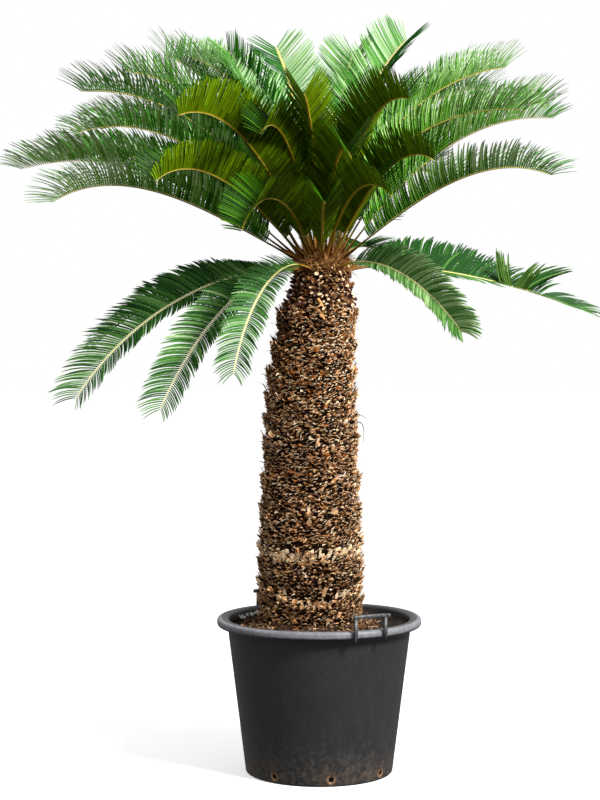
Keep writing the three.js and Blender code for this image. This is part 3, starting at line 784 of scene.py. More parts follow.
random = np.random.default_rng(5)
shells = [shell for ribs in TIERS.values() for shell in (rib_shell(ribs), spine_shell(ribs, random))]
make_piece("frond_ribs", shells, RIB_PAINTS)

# %% [markdown]
# ## The trunk
#
# The trunk carries the stub of every leaf that the palm has dropped, in a spiral. Each year's
# leaves leave a ring, which swells towards its upper edge and then steps in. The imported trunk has
# these rings as plain shelves. Here the same profile gives the core. Its rings wave a little round
# the trunk, and the lower ones fall towards the front. About sixteen thousand stubs stand out of
# it, up and outwards. A height map on the trunk would be quicker, but stubs overhang and cast small
# shadows on each other, and no height map does that.

# %% The trunk's profile
SHELVES = [0.532, 0.6, 0.659, 0.735, 0.843, 0.938, 1.055, 1.115, 1.185, 1.261, 1.35, 1.451]
SHELF_DEPTH, SHELF_SLOPE = 0.007, 0.006
# Some shelves step in further, by height and depth. An inset has its depth, where it starts, and its fade.
DEEP_SHELVES = [(0.6, 0.007), (0.735, 0.009), (0.938, 0.004), (1.055, 0.004), (1.261, 0.007)]
DEEP_FADE, DEEP_START = 0.045, 0.002
TRUNK_RADIUS, TAPER_START, SHOULDER, SHOULDER_RADIUS = 0.166, 0.735, 1.451, 0.131
NECK_LEVEL, NECK_RADIUS, TRUNK_TOP_RADIUS = 1.51, 0.114, 0.1
TRUNK_X, LEAN_START = -0.028, 1.2
ROOT_FLARE, ROOT_FLARE_HEIGHT = 0.006, 0.04
RING_TILT, TILT_END, TILT_FADE = 0.030, 1.3, 0.5
CROWN_INSETS = [(0.006, 1.28, 0.08), (0.010, 1.475, 0.03)]
TRUNK_FOOT, TRUNK_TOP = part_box("trunk")[0][2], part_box("trunk")[1][2]


def ring_radius(height):
    """The radius of the rings' edges: even at first, then tapering to the shoulder."""
    share = np.clip((height - TAPER_START) / (SHOULDER - TAPER_START), 0, 1)
    return TRUNK_RADIUS + (SHOULDER_RADIUS - TRUNK_RADIUS) * share


profile = [(TRUNK_FOOT, ring_radius(TRUNK_FOOT) + ROOT_FLARE),
           (TRUNK_FOOT + ROOT_FLARE_HEIGHT, ring_radius(TRUNK_FOOT) - SHELF_DEPTH)]
for shelf in SHELVES:
    profile.append((shelf - SHELF_SLOPE, ring_radius(shelf)))
    profile.append((shelf + SHELF_SLOPE, ring_radius(shelf) - SHELF_DEPTH))
profile += [(NECK_LEVEL, NECK_RADIUS), (TRUNK_TOP, TRUNK_TOP_RADIUS)]
PROFILE_HEIGHTS, PROFILE_RADII = np.array(profile).T
print("trunk: rings end at", SHELVES, "m")


def ring_wave(azimuth, height):
    """How far the rings' edges fall or rise round the trunk: a tilt towards the front at the lower rings,
    plus a wave of two crests and one of three."""
    tilt = -RING_TILT * np.sin(azimuth) * np.clip((TILT_END - height) / TILT_FADE, 0, 1)
    return tilt + 0.008 * np.sin(2 * azimuth + 9 * height) + 0.005 * np.sin(3 * azimuth - 14 * height + 1)


def trunk_radius(azimuth, height):
    """The profile's radius at the level of the waving rings, less the insets."""
    level, inset = height + ring_wave(azimuth, height), 0
    for depth, start, fade in CROWN_INSETS:
        inset = inset + depth * np.clip((height - start) / fade, 0, 1)
    for shelf, depth in DEEP_SHELVES:
        inset = inset + depth * np.clip(1 - (level - shelf) / DEEP_FADE, 0, 1) * (level > shelf + DEEP_START)
    return np.interp(level, PROFILE_HEIGHTS, PROFILE_RADII) - inset


def trunk_axis(height):
    """The axis: upright to LEAN_START, then eased to the crown's centre, as share * share * (3 - 2 share)."""
    share = np.clip((height - LEAN_START) / (TRUNK_TOP - LEAN_START), 0, 1)
    return TRUNK_X + (CROWN_X - TRUNK_X) * share**2 * (3 - 2 * share)


def on_trunk(azimuth, height, radius):
    """Points at an azimuth, a height and a distance from the trunk's leaning axis:
    (axis + radius cos(azimuth), radius sin(azimuth), height)."""
    x, y = trunk_axis(height) + radius * np.cos(azimuth), radius * np.sin(azimuth)
    return np.stack([x, y, height], axis=-1)


# %% [markdown]
# The core only shows as dark gaps between the stubs. It is one upright path of rings, a stub's
# depth inside the profile, and its finish is brown bark with rusty wool in patches.

# %% The core
STUB_DEPTH = 0.016


def bark_finish():
    """Dark brown, with rusty patches, and fine grain that runs up the trunk."""
    finish = Finish("bark_core")
    grain = finish.noise(220, 4, (1, 1, 0.35))
    patches = finish.noise(14, 2).step(0.5, 0.68)
    brown = finish.mix(grain, (0.008, 0.004, 0.002, 1), (0.05, 0.026, 0.012, 1))
    rusty = finish.mix(grain, (0.02, 0.008, 0.003, 1), (0.12, 0.045, 0.015, 1))
    colour = finish.mix(patches, brown, rusty)
    relief = finish.bump(grain, 0.002)
    return finish.done(Base_Color=colour, Roughness=0.9, Specular_IOR_Level=0.05, Normal=relief)


CORE_ROWS, CORE_COLUMNS, RIPPLE = 260, 180, 0.003

heights, azimuths = np.linspace(TRUNK_FOOT, TRUNK_TOP, CORE_ROWS)[:, None], all_round(CORE_COLUMNS)
ripple = RIPPLE * np.sin(37 * azimuths + 260 * heights) * np.sin(300 * heights - 31 * azimuths)
core = on_trunk(azimuths, heights + 0 * azimuths, trunk_radius(azimuths, heights) - STUB_DEPTH + ripple)
make_piece("trunk_core", [stitch(core[None])], [bark_finish()], ["trunk"], smooth=True)

# %% [markdown]
# Leaves grow at the golden angle, 137.5 degrees from one to the next, and it is the stubs' spiral
# too. It packs them evenly and gives the slanting rows that show at the trunk's sides. Just above a
# ring's edge there are none, so a dark groove parts the rings.
#
# The colours are plain: brown, umber, rust, grey, tan and pale, dealt out by a drawn number that is
# set against shares. The shares change with the height: two rings' edges are pale, a rusty belt
# runs below the shoulder, and the foot is darker. The upper left side is darker with a painted shadow
# of the drooping fronds, and each ring's ends are paler at its upper edge and darker below it, a
# painted shade under the lip above.

# %% Where stubs grow, and their shades
GOLDEN_ANGLE = math.pi * (3 - math.sqrt(5))
STUB_ROWS, ROW_STUBS = 186, 98
# How far above each ring's edge the trunk stays bare, and the pale edges as rows of strength, level and width.
GROOVES = np.array([0, 0.007, 0.012, 0.006, 0.014, 0.005, 0.010, 0.011, 0.006, 0.007, 0.017, 0.005, 0.008])
NECK_START, NECK_FADE = 1.475, 0.03
PALE_EDGES = [(1, 0.718, 0.013), (0.6, 0.584, 0.012)]
RUST_LEVEL, RUST_WIDTH, RUST_START, RUST_FADE, RUST_SHARE = 1.27, 0.05, 1.1, 0.15, 0.35
# A painted shadow of the drooping fronds on the trunk's upper left side, by azimuth and height.
PAINTED_SHADOW_SHARE, PAINTED_SHADOW_AZIMUTH, PAINTED_SHADOW_WIDTH, PAINTED_SHADOW_START, PAINTED_SHADOW_FADE = 0.6, 205, 35, 1.2, 0.1
LOW_SHARE, LOW_END, LOW_FADE = 0.22, 0.70, 0.06
FRESH_SHARE, FRESH_START, FRESH_FADE, FRESH_END, FRESH_END_FADE = 0.12, 1.15, 0.1, 1.47, 0.03
# How much paler a stub's end is at its ring's upper edge and darker below it: painted shade under the lip
# above.
RING_PAINTED_SHADE = 0.14
BARK_PAINTS = [
    paint("bark_painted_shade", (0.012, 0.005, 0.002), 0.95),
    paint("bark_brown", (0.10, 0.045, 0.017), 0.9),
    paint("bark_umber", (0.40, 0.21, 0.09), 0.9),
    paint("bark_rust", (0.58, 0.21, 0.05), 0.9),
    paint("bark_grey", (0.62, 0.46, 0.31), 0.9),
    paint("bark_tan", (0.92, 0.56, 0.28), 0.85),
    paint("bark_pale", (1.0, 0.80, 0.54), 0.8),
]
ROOT_SHADE, BROWN, UMBER, RUST, GREY, TAN, PALE = range(len(BARK_PAINTS))


def from_shelves(azimuth, height):
    """How far each stub is below the edge of its own ring, and whether it is clear of all grooves."""
    level = height + ring_wave(azimuth, height)
    below = np.array([*SHELVES, TRUNK_TOP])[:, None] - level
    above = level - np.array([TRUNK_FOOT - 0.1, *SHELVES])[:, None]
    return np.where(below < 0, 1, below).min(axis=0), ((above < 0) | (above > GROOVES[:, None])).all(axis=0)


def dealt(draw, shares, rest):
    """The first shade whose share is above the drawn number, or the rest."""
    return np.select([draw < share for share, _ in shares], [shade for _, shade in shares], rest)


def stub_shades(azimuth, height, edge, random):
    """The shades of every stub's shank, its underside and its end. Most undersides are painted shade, the ends
    are darker below their ring's edge as painted shade, and shanks and ends are darker on the upper left side
    as a painted shadow.
    """
    level = height + ring_wave(azimuth, height)
    bright = sum(share * np.exp(-(((level - at) / width) ** 2)) for share, at, width in PALE_EDGES)
    rusty = np.exp(-(((height - RUST_LEVEL) / RUST_WIDTH) ** 2))
    rusty = rusty + RUST_SHARE * np.clip((height - RUST_START) / RUST_FADE, 0, 1)
    away = ((azimuth % (2 * np.pi)) / DEGREE - PAINTED_SHADOW_AZIMUTH) / PAINTED_SHADOW_WIDTH
    painted_shadow = PAINTED_SHADOW_SHARE * np.exp(-(away**2)) * np.clip((height - PAINTED_SHADOW_START) / PAINTED_SHADOW_FADE, 0, 1)
    low = LOW_SHARE * np.clip((LOW_END - height) / LOW_FADE, 0, 1) * (1 - np.minimum(bright, 1))
    fresh = FRESH_SHARE * np.clip((height - FRESH_START) / FRESH_FADE, 0, 1)
    fresh = fresh * np.clip((FRESH_END - height) / FRESH_END_FADE, 0, 1)
    draw = random.random(len(height)) - RING_PAINTED_SHADE * edge + low + painted_shadow - fresh
    end = dealt(draw, [(0.20 + 0.7 * bright, PALE), (0.58 + bright, TAN),
                       (0.66 + 0.2 * rusty - 0.3 * low, RUST), (0.82 + 0.15 * rusty, GREY)], UMBER)
    draw = random.random(len(height)) + low + painted_shadow
    shank = dealt(draw, [(0.03 + 0.6 * bright, PALE), (0.08 + 0.2 * rusty + 0.5 * bright, RUST),
                         (0.34 + 0.1 * rusty + 0.5 * bright, TAN), (0.42 + 0.4 * bright, GREY),
                         (0.68, UMBER)], BROWN)
    draw = random.random(len(height))
    return shank, dealt(draw, [(0.75 * bright, end), (0.62, ROOT_SHADE), (0.76, BROWN)], shank), end


# %% [markdown]
# A stub is a flat, thin sliver of wood, a low triangle in section, with an underside darkened by
# painted shade and a pale, ragged cut end. Those near a ring's edge are the longest. They slant to
# one side or the other in groups, because leaves that grew together were pushed over together. Each
# shows only three short lengths: a root dark with painted shade, a shank and the end.

# %% The stubs
STUB_SECTION = [(1, -0.09), (0.1, 0.22), (-1, -0.09)]
UPPER_WALLS, UNDER_WALL = 2, 2
STUB_STATIONS = np.array([0.45, 0.9, 1])
STUB_WIDTHS = np.array([0.8, 1, 0.95, 0.7])
STUB_HALF_WIDTH, WIDTH_SPREAD, WIDTH_RANGE = 0.0062, 0.22, (0.5, 1.5)
STUB_CLIMB, EDGE_CLIMB, CLIMB_SPREAD, SWAY = 42, 4, 9, 0.2
GROUP_ROLL, ROLL, ROLL_SPREAD = 20, 4, 13
STUB_REACH, EDGE_REACH, REACH_SPREAD, REACH_LIMIT, NECK_LOSS = 0.0155, 0.006, 0.0035, 0.008, 0.4
EDGE_HEIGHT, SUNK, RAGGED = 0.03, 0.006, 0.0022
SPIRAL_END, AZIMUTH_SPREAD, HEIGHT_SPREAD = TRUNK_TOP - 0.012, 0.014, 0.0013


def stub_places(first, last, random):
    """The azimuth and height of those stubs, from first to last of the spiral, that are clear of the grooves,
    and their edge, which is 1 at the edge of a ring and falls to -0.8 below it."""
    number = np.arange(first, last)
    azimuth = number * GOLDEN_ANGLE + random.normal(0, AZIMUTH_SPREAD, len(number))
    height = TRUNK_FOOT + (SPIRAL_END - TRUNK_FOOT) * (number // ROW_STUBS + 0.5) / STUB_ROWS
    height = height - ring_wave(azimuth, height) + random.normal(0, HEIGHT_SPREAD, len(number))
    height = np.clip(height, TRUNK_FOOT, TRUNK_TOP)
    below, grows = from_shelves(azimuth, height)
    grows = grows & ((height < NECK_START + 0.01) | (random.random(len(number)) < 0.5))
    return azimuth[grows], height[grows], np.clip(1 - below[grows] / EDGE_HEIGHT, -0.8, 1)


def stub_shell(first, last, random):
    """The stubs from first to last of the spiral, each a section carried up and outwards and cut off ragged.

    It turns about its own direction by roll: across cos(roll) + above sin(roll)."""
    azimuth, height, edge = stub_places(first, last, random)
    count, radius = len(azimuth), trunk_radius(azimuth, height)
    climb = (STUB_CLIMB + EDGE_CLIMB * edge + random.normal(0, CLIMB_SPREAD, count)).clip(0, 80) * DEGREE
    outward, around = compass(azimuth)
    direction = climbing(outward, around, climb, random.normal(0, SWAY, count))
    across = square_to(direction, around)
    above = np.cross(direction, across)
    roll = GROUP_ROLL * np.sin(7 * azimuth + 60 * height) + random.normal(ROLL, ROLL_SPREAD, count)
    roll = roll[:, None] * DEGREE
    across, above = across * np.cos(roll) + above * np.sin(roll), above * np.cos(roll) - across * np.sin(roll)
    neck = np.clip((height - NECK_START) / NECK_FADE, 0, 1)
    reach = (STUB_REACH + EDGE_REACH * edge) * (1 - NECK_LOSS * neck)
    reach = reach + random.normal(0, REACH_SPREAD, count).clip(-REACH_LIMIT, REACH_LIMIT)
    length = (reach / np.cos(climb).clip(0.5))[:, None]
    root = on_trunk(azimuth, height, radius - STUB_DEPTH)
    line = root[:, None] + direction[:, None] * (length * STUB_STATIONS)[..., None]
    line = np.concatenate([(root - direction * SUNK)[:, None], line], axis=1)
    line[:, -1] += across * random.normal(0, RAGGED, count)[:, None]
    half = (STUB_HALF_WIDTH * random.normal(1, WIDTH_SPREAD, count).clip(*WIDTH_RANGE))[:, None, None]
    widths = half * STUB_WIDTHS[:, None]
    rings = carry(line, across[:, None] * widths, above[:, None] * widths, STUB_SECTION)
    rings[:, -1] += direction[:, None] * random.normal(0, RAGGED, (count, len(STUB_SECTION)))[..., None]
    shank, under, end = stub_shades(azimuth, height, edge, random)
    # The root stretch of every stub and most undersides are painted shade.
    walls = np.full((count, len(STUB_STATIONS), len(STUB_SECTION)), ROOT_SHADE)
    walls[:, 1, :UPPER_WALLS] = shank[:, None]
    walls[:, 1, UNDER_WALL] = under
    walls[:, 2] = end[:, None]
    return stitch(rings, walls=walls, foot=ROOT_SHADE, ends=end)


random = np.random.default_rng(23)
last, half_way = STUB_ROWS * ROW_STUBS, STUB_ROWS // 2 * ROW_STUBS
make_piece("trunk_stubs_lower", [stub_shell(0, half_way, random)], BARK_PAINTS)
make_piece("trunk_stubs_upper", [stub_shell(half_way, last, random)], BARK_PAINTS)

# %% [markdown]
# ## The heart of the crown
#
# Between the stalks the crown is a low dome of rust-brown wool. Below it, round the neck, the
# newest leaf stalks were cut with shears: their ends are round, and the fresh ones are pale. A few
# were torn off long and hang down. The wool could be Blender's hair, but hair has no faces and is
# lost when the model is exported. So it is a crowd of thin closed strands, and the trunk's loose
# fibres are made by the same function.

# %% Strands
TRIANGLE = [(1, 0), (-0.5, 0.87), (-0.5, -0.87)]
STRAND_TAPER = 0.75


def strand_shell(root, direction, length, width, bend, shade, stations=4):
    """Strands with three sides: point = root + length * (share * direction + share**2 * bend)."""
    share = np.linspace(0, 1, stations)[None, :, None]
    line = root[:, None] + length[:, None, None] * (direction[:, None] * share + bend[:, None] * share**2)
    forward = unit(np.gradient(line, axis=1))
    across = unit(np.cross(forward, unit(np.array([0.31, 0.17, 0.93]))))
    above = np.cross(forward, across)
    half = width[:, None, None] * (1 - STRAND_TAPER * share)
    rings = carry(line[:, :-1], across[:, :-1] * half[:, :-1], above[:, :-1] * half[:, :-1], TRIANGLE)
    walls = np.broadcast_to(shade[:, None, None], (len(root), stations - 2, len(TRIANGLE)))
    return stitch(rings, tips=line[:, -1], walls=walls, foot=shade, ends=shade)


# %% Wool and the dome
def wool_finish():
    """Matted wool: fine lumps from dark to rust-brown, with the same lumps as relief."""
    finish = Finish("wool_dome")
    lumps = finish.noise(160, 5)
    colour = finish.mix(lumps, (0.02, 0.01, 0.005, 1), (0.20, 0.09, 0.03, 1))
    relief = finish.bump(lumps, 0.004)
    return finish.done(Base_Color=colour, Roughness=0.95, Specular_IOR_Level=0.05, Normal=relief)


DOME_ROWS, DOME_COLUMNS, DOME_INSET, DOME_STEEPEST = 40, 120, 0.016, 88

rise, azimuths = np.linspace(-0.9, 1, DOME_ROWS)[:, None], all_round(DOME_COLUMNS)
slope = np.maximum(rise, 0) * DOME_STEEPEST * DEGREE
dome_radius = np.where(rise < 0, TRUNK_TOP_RADIUS + 0.004 * (1 + rise),
                       SEAT_RADIUS + SEAT_SPREAD * np.cos(slope))
tufts = 0.004 * np.sin(17 * azimuths + 9 * rise) * np.sin(23 * azimuths - 14 * rise)
dome_radius = dome_radius - DOME_INSET + tufts
dome_height = np.where(rise < 0, rise * (CROWN_LEVEL - heart_low[2]), SEAT_RISE * np.sin(slope) - 0.003)
dome = np.stack([CROWN_X + dome_radius * np.cos(azimuths), dome_radius * np.sin(azimuths),
                 CROWN_LEVEL + dome_height + 0 * azimuths], axis=-1)
make_piece("crown_dome", [stitch(dome[None])], [wool_finish()], ["crown_heart"], smooth=True)

# %% Wool
# The wool's paints are darkened as painted shade of the crown.
WOOL_PAINTS = [
    paint("wool_dark", (0.08, 0.032, 0.014), 0.95),
    paint("wool_rust", (0.34, 0.14, 0.04), 0.95),
    paint("wool_gold", (0.46, 0.27, 0.10), 0.9),
]
WOOL_COUNT, WOOL_DEPTH, WOOL_BELOW, WOOL_STEEPEST = 1900, 0.018, 0.075, 85
WOOL_LENGTHS, WOOL_WIDTHS = (0.012, 0.034), (0.0007, 0.0016)

random = np.random.default_rng(31)
azimuth = random.uniform(0, 2 * np.pi, WOOL_COUNT)
level = random.uniform(-0.25, 0.9, WOOL_COUNT)
slope = np.maximum(level, 0) * WOOL_STEEPEST * DEGREE
radius = np.where(level < 0, TRUNK_TOP_RADIUS + 0.006, SEAT_RADIUS + SEAT_SPREAD * np.cos(slope))
outward, _ = compass(azimuth)
root = np.array([CROWN_X, 0, CROWN_LEVEL]) + outward * (radius - WOOL_DEPTH)[:, None]
root[:, 2] += np.where(level < 0, level * WOOL_BELOW, SEAT_RISE * np.sin(slope))
direction = unit(outward + np.array([0, 0, 0.3]) + random.normal(0, 0.9, root.shape))
length, width = random.uniform(*WOOL_LENGTHS, WOOL_COUNT), random.uniform(*WOOL_WIDTHS, WOOL_COUNT)
bend = random.normal(0, 0.6, root.shape)
wool = strand_shell(root, direction, length, width, bend, random.choice(3, WOOL_COUNT, p=[0.3, 0.4, 0.3]))
make_piece("crown_fibres", [wool], WOOL_PAINTS)

# %% [markdown]
# The cut stalks are the same kind of section, now round, and their ends are flat. About a third of
# the ends are cream, and the rest are a dark tan. The tan ends and the dark skins carry painted shade
# of the crown. They stand round the neck at the golden angle too, in the gaps of the darker stubs.

# %% Cut stalks
# The dark skin and the dark tan of the cut ends are painted shade of the crown.
CUT_PAINTS = [
    paint("stalk_skin", (0.060, 0.020, 0.022), 0.8),
    paint("stalk_skin_orange", (0.26, 0.11, 0.03), 0.75),
    paint("stalk_cut", (0.86, 0.60, 0.36), 0.75),
    paint("stalk_cut_tan_shaded", (0.17, 0.08, 0.028), 0.8),
    paint("stalk_torn", (0.80, 0.42, 0.14), 0.8),
]
SHADED_SKIN, ORANGE_SKIN, CUT, SHADED_CUT_TAN, TORN = range(len(CUT_PAINTS))


def circle(corners):
    """The corners of a circle of radius 1, anticlockwise."""
    turns = [k * 2 * math.pi / corners for k in range(corners)]
    return [(math.cos(turn), math.sin(turn)) for turn in turns]


STALK_CORNERS = 8
CUT_COUNT, CUT_FIRST_LEVEL, CUT_LAST_LEVEL = 280, 1.475, 1.605
CUT_CLIMB, CUT_DEPTH, CUT_LENGTHS = 26, 0.034, (0.036, 0.052)
CUT_HALF_WIDTH, CUT_FLATNESS, CUT_TAPER, CUT_SLANT = 0.0058, 0.75, 0.94, 0.0014

random = np.random.default_rng(47)
number = np.arange(CUT_COUNT)
azimuth = number * GOLDEN_ANGLE + random.normal(0, 0.05, CUT_COUNT)
height = CUT_FIRST_LEVEL + (CUT_LAST_LEVEL - CUT_FIRST_LEVEL) * (number + 0.5) / CUT_COUNT
climb = (CUT_CLIMB + random.normal(0, 16, CUT_COUNT)) * DEGREE
outward, around = compass(azimuth)
direction = climbing(outward, around, climb, random.normal(0, 0.3, CUT_COUNT))
across = square_to(direction, around)
root = on_trunk(azimuth, height, trunk_radius(azimuth, height) - CUT_DEPTH)
reach = random.uniform(*CUT_LENGTHS, CUT_COUNT)[:, None]
line = np.stack([root, root + direction * reach * 0.6, root + direction * reach], axis=1)
thick = (CUT_HALF_WIDTH * random.normal(1, 0.3, CUT_COUNT).clip(0.45, 1.4))[:, None, None]
thick = thick * np.array([1, 1, CUT_TAPER])[:, None]
above = np.cross(direction, across)
rings = carry(line, across[:, None] * thick, above[:, None] * thick * CUT_FLATNESS, circle(STALK_CORNERS))
rings[:, -1] += direction[:, None] * random.normal(0, CUT_SLANT, (CUT_COUNT, STALK_CORNERS))[..., None]
walls = random.choice([SHADED_SKIN, ORANGE_SKIN], CUT_COUNT, p=[0.7, 0.3])[:, None, None]
cut_stalks = stitch(rings, walls=np.broadcast_to(walls, (CUT_COUNT, 2, STALK_CORNERS)), foot=SHADED_SKIN,
                    ends=random.choice([CUT, SHADED_CUT_TAN], CUT_COUNT, p=[0.35, 0.65]))

# %% Torn stalks
# Each torn stalk hangs down, so its climb is below the level.
TornStalk = collections.namedtuple("TornStalk", "azimuth height reach climb")
TORN_STALKS = [TornStalk(-91, 1.500, 0.034, -55), TornStalk(-92, 1.473, 0.030, -72),
               TornStalk(-87, 1.462, 0.026, -66)]
TORN_STATIONS, TORN_HALF_WIDTHS, TORN_SWAY, TORN_OUT = [-0.2, 0.5, 1], [0.0042, 0.0046, 0.0028], 0.5, 0.006

azimuth, height, reach, climb = np.array(TORN_STALKS).T
azimuth, climb = azimuth * DEGREE, climb * DEGREE
outward, around = compass(azimuth)
direction = climbing(outward, around, climb, np.full(len(azimuth), TORN_SWAY))
across = square_to(direction, around)
root = on_trunk(azimuth, height, trunk_radius(azimuth, height) + TORN_OUT)
line = root[:, None] + direction[:, None] * (reach[:, None] * np.array(TORN_STATIONS))[..., None]
thick = np.array(TORN_HALF_WIDTHS)[None, :, None]
above = np.cross(direction, across)
rings = carry(line, across[:, None] * thick, above[:, None] * thick, circle(STALK_CORNERS))
torn_stalks = stitch(rings, walls=TORN, foot=TORN, ends=CUT)
make_piece("cut_stalks", [cut_stalks, torn_stalks], CUT_PAINTS)

# %% [markdown]
# Loose fibres stand off the trunk all round, most of them short. A few long ones curl out and hang,
# and they are listed one by one.

# %% Loose fibres
FIBRE_PAINTS = [
    paint("fibre_brown", (0.12, 0.065, 0.035), 0.9),
    paint("fibre_tan", (0.55, 0.35, 0.18), 0.9),
    paint("fibre_white", (0.72, 0.66, 0.58), 0.85),
]
FIBRE_BROWN, FIBRE_TAN, FIBRE_WHITE = range(len(FIBRE_PAINTS))
LongFibre = collections.namedtuple("LongFibre", "azimuth height length direction bend shade")
LONG_FIBRES = [
    LongFibre(-12, 1.135, 0.05, (0.6, -0.3, 0.5), (0.2, 0, -0.8), FIBRE_BROWN),
    LongFibre(-8, 1.115, 0.09, (0.9, -0.3, 0.3), (-0.65, 0.2, -1.2), FIBRE_BROWN),
    LongFibre(-14, 0.665, 0.05, (0.8, -0.4, 0.45), (-0.1, 0, -0.7), FIBRE_BROWN),
    LongFibre(-40, 0.965, 0.05, (-0.3, -0.5, -0.8), (-0.5, 0, 0.6), FIBRE_WHITE),
    LongFibre(190, 1.130, 0.03, (-0.8, -0.4, 0.6), (0.1, 0, 0.2), FIBRE_BROWN),
    LongFibre(186, 0.985, 0.03, (-0.9, -0.4, 0.5), (0.1, 0, -0.2), FIBRE_BROWN),
    LongFibre(-95, 1.05, 0.045, (0.5, -0.5, 0.3), (0.2, 0.1, 0.2), FIBRE_WHITE),
]
LONG_DEPTH, LONG_WIDTH, LONG_STATIONS = 0.004, 0.0022, 9
SHORT_COUNT, SHORT_DEPTH, SHORT_LENGTHS, SHORT_WIDTHS = 3200, 0.006, (0.006, 0.04), (0.0005, 0.0012)
FIBRES_START, FIBRES_END = TRUNK_FOOT + 0.02, TRUNK_TOP - 0.03

random = np.random.default_rng(59)
azimuth = random.uniform(0, 2 * np.pi, SHORT_COUNT)
height = random.uniform(FIBRES_START, FIBRES_END, SHORT_COUNT)
root = on_trunk(azimuth, height, trunk_radius(azimuth, height) - SHORT_DEPTH)
direction = unit(compass(azimuth)[0] + np.array([0, 0, 0.7]) + random.normal(0, 0.7, root.shape))
length = random.gamma(3, 0.0055, SHORT_COUNT).clip(*SHORT_LENGTHS)
width, bend = random.uniform(*SHORT_WIDTHS, SHORT_COUNT), random.normal(0, 0.25, root.shape)
shade = random.choice([FIBRE_BROWN, FIBRE_TAN, FIBRE_WHITE], SHORT_COUNT, p=[0.35, 0.55, 0.10])
short_fibres = strand_shell(root, direction, length, width, bend, shade)

azimuth, height, length, direction, bend, shade = (np.array(column) for column in zip(*LONG_FIBRES))
azimuth = azimuth * DEGREE
root = on_trunk(azimuth, height, trunk_radius(azimuth, height) - LONG_DEPTH)
width = np.full(len(root), LONG_WIDTH)
long_fibres = strand_shell(root, unit(direction), length, width, bend, shade, LONG_STATIONS)
make_piece("trunk_fibres", [short_fibres, long_fibres], FIBRE_PAINTS)

# %% [markdown]
# ## The pot
#
# The pot is a moulded nursery tub: a plain wall that leans out a little, a thick rolled rim, and
# drain holes just above the floor. It is one ring of corners whose path runs from the middle of the
# underside, up the wall, over the rim, and down inside to the middle of the floor. That is what the
# Spin tool does, with two small waves added, because a full tub is never quite round. The drain
# holes are cut by a Boolean modifier, because a hole doesn't follow the surface's own grid.

# %% The pot's wall
pot_high = np.array(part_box("pot")[1])
POT_HEIGHT, RIM_RADIUS = pot_high[2], pot_high[0]
FOOT_RADIUS, POT_NECK_RADIUS, WALL = 0.235, 0.292, 0.005
RIM_HEIGHT, FOOT_ROUND, MIDDLE_RADIUS, RIM_LIP = 0.026, 0.008, 0.02, 0.006
POT_COLUMNS, OVAL, WARP = 240, 0.0022, 0.0012


def arc(centre, radii, start, stop, count, square=1.0):
    """Points of an arc in the (radius, height) plane, by angle in degrees: (cos, sin) of the angle, each
    raised to the power square. With square under 1 the arc fills its box more."""
    angle = np.linspace(start, stop, count) * DEGREE
    cosine, sine = np.cos(angle), np.sin(angle)
    x = np.sign(cosine) * np.abs(cosine) ** square
    y = np.sign(sine) * np.abs(sine) ** square
    return np.stack([centre[0] + radii[0] * x, centre[1] + radii[1] * y], axis=-1)


def straight(start, stop, count):
    """Evenly spaced points between two corners of the outline, without the corners."""
    share = np.linspace(0, 1, count + 2)[1:-1, None]
    return np.array(start) * (1 - share) + np.array(stop) * share


rim_foot = POT_HEIGHT - RIM_HEIGHT
rim_middle = ((POT_NECK_RADIUS - WALL + RIM_RADIUS) / 2, POT_HEIGHT - RIM_HEIGHT / 2)
rim_radii = ((RIM_RADIUS - POT_NECK_RADIUS + WALL) / 2, RIM_HEIGHT / 2)
inner_foot = FOOT_RADIUS - WALL
outline = np.concatenate([
    [(MIDDLE_RADIUS, 0)],
    straight((MIDDLE_RADIUS, 0), (FOOT_RADIUS - FOOT_ROUND, 0), 5),
    arc((FOOT_RADIUS - FOOT_ROUND, FOOT_ROUND), (FOOT_ROUND, FOOT_ROUND), -90, 0, 6),
    straight((FOOT_RADIUS, FOOT_ROUND), (POT_NECK_RADIUS, rim_foot), 24),
    [(POT_NECK_RADIUS, rim_foot), (POT_NECK_RADIUS + RIM_LIP, rim_foot)],
    arc(rim_middle, rim_radii, -78, 172, 26, 0.62),
    straight((POT_NECK_RADIUS - WALL, rim_foot), (inner_foot, WALL), 16),
    [(inner_foot, WALL), (MIDDLE_RADIUS, WALL)],
])
azimuths = all_round(POT_COLUMNS)
radii, heights = outline[:, :1], outline[:, 1:]
oval = radii * (1 + OVAL * np.sin(2 * azimuths + 0.6) * (heights / POT_HEIGHT) ** 2)
warp = WARP * np.sin(3 * azimuths) * (heights / POT_HEIGHT) ** 4
pot_rings = np.stack([oval * np.cos(azimuths), oval * np.sin(azimuths), heights + warp], axis=-1)
pot_rings[0, :, 2] = pot_rings[:6, :, 2].min()
print("pot:", len(outline), "points in its outline,", POT_COLUMNS, "columns round it")

# %% [markdown]
# The finish of the pot is one sum. Black plastic is the ground. Pale dust lies on it in fine
# grains, more of it towards the foot. Brown earth has splashed up round the foot and run from each
# drain hole. The rim is a lighter grey in patches, partly scuffs and partly painted highlight, and a
# painted highlight runs along its outer top edge. The handles are scuffed all over, most on their
# bars. Inside, the wall above the soil is brown with dirt.

# %% The pot's finish
HOLE_COUNT, HOLE_RADIUS, HOLE_LEVEL, FIRST_HOLE = 8, 0.008, 0.0235, -81
STAIN_EDGE, STAIN_MIDDLE = 0.0185, 0.0145


def from_hole(finish, x, y, z):
    """The distance on the wall to the middle of the nearest drain hole.

    The azimuth, counted in holes, less its nearest whole number tells how far round the next hole is."""
    turn = (y.maths("ARCTAN2", y, x) - FIRST_HOLE * DEGREE) * (HOLE_COUNT / (2 * math.pi))
    beside = (turn - turn.maths("ROUND", turn)) * (2 * math.pi / HOLE_COUNT * FOOT_RADIUS)
    above = z - HOLE_LEVEL
    return (beside * beside + above * above).root()


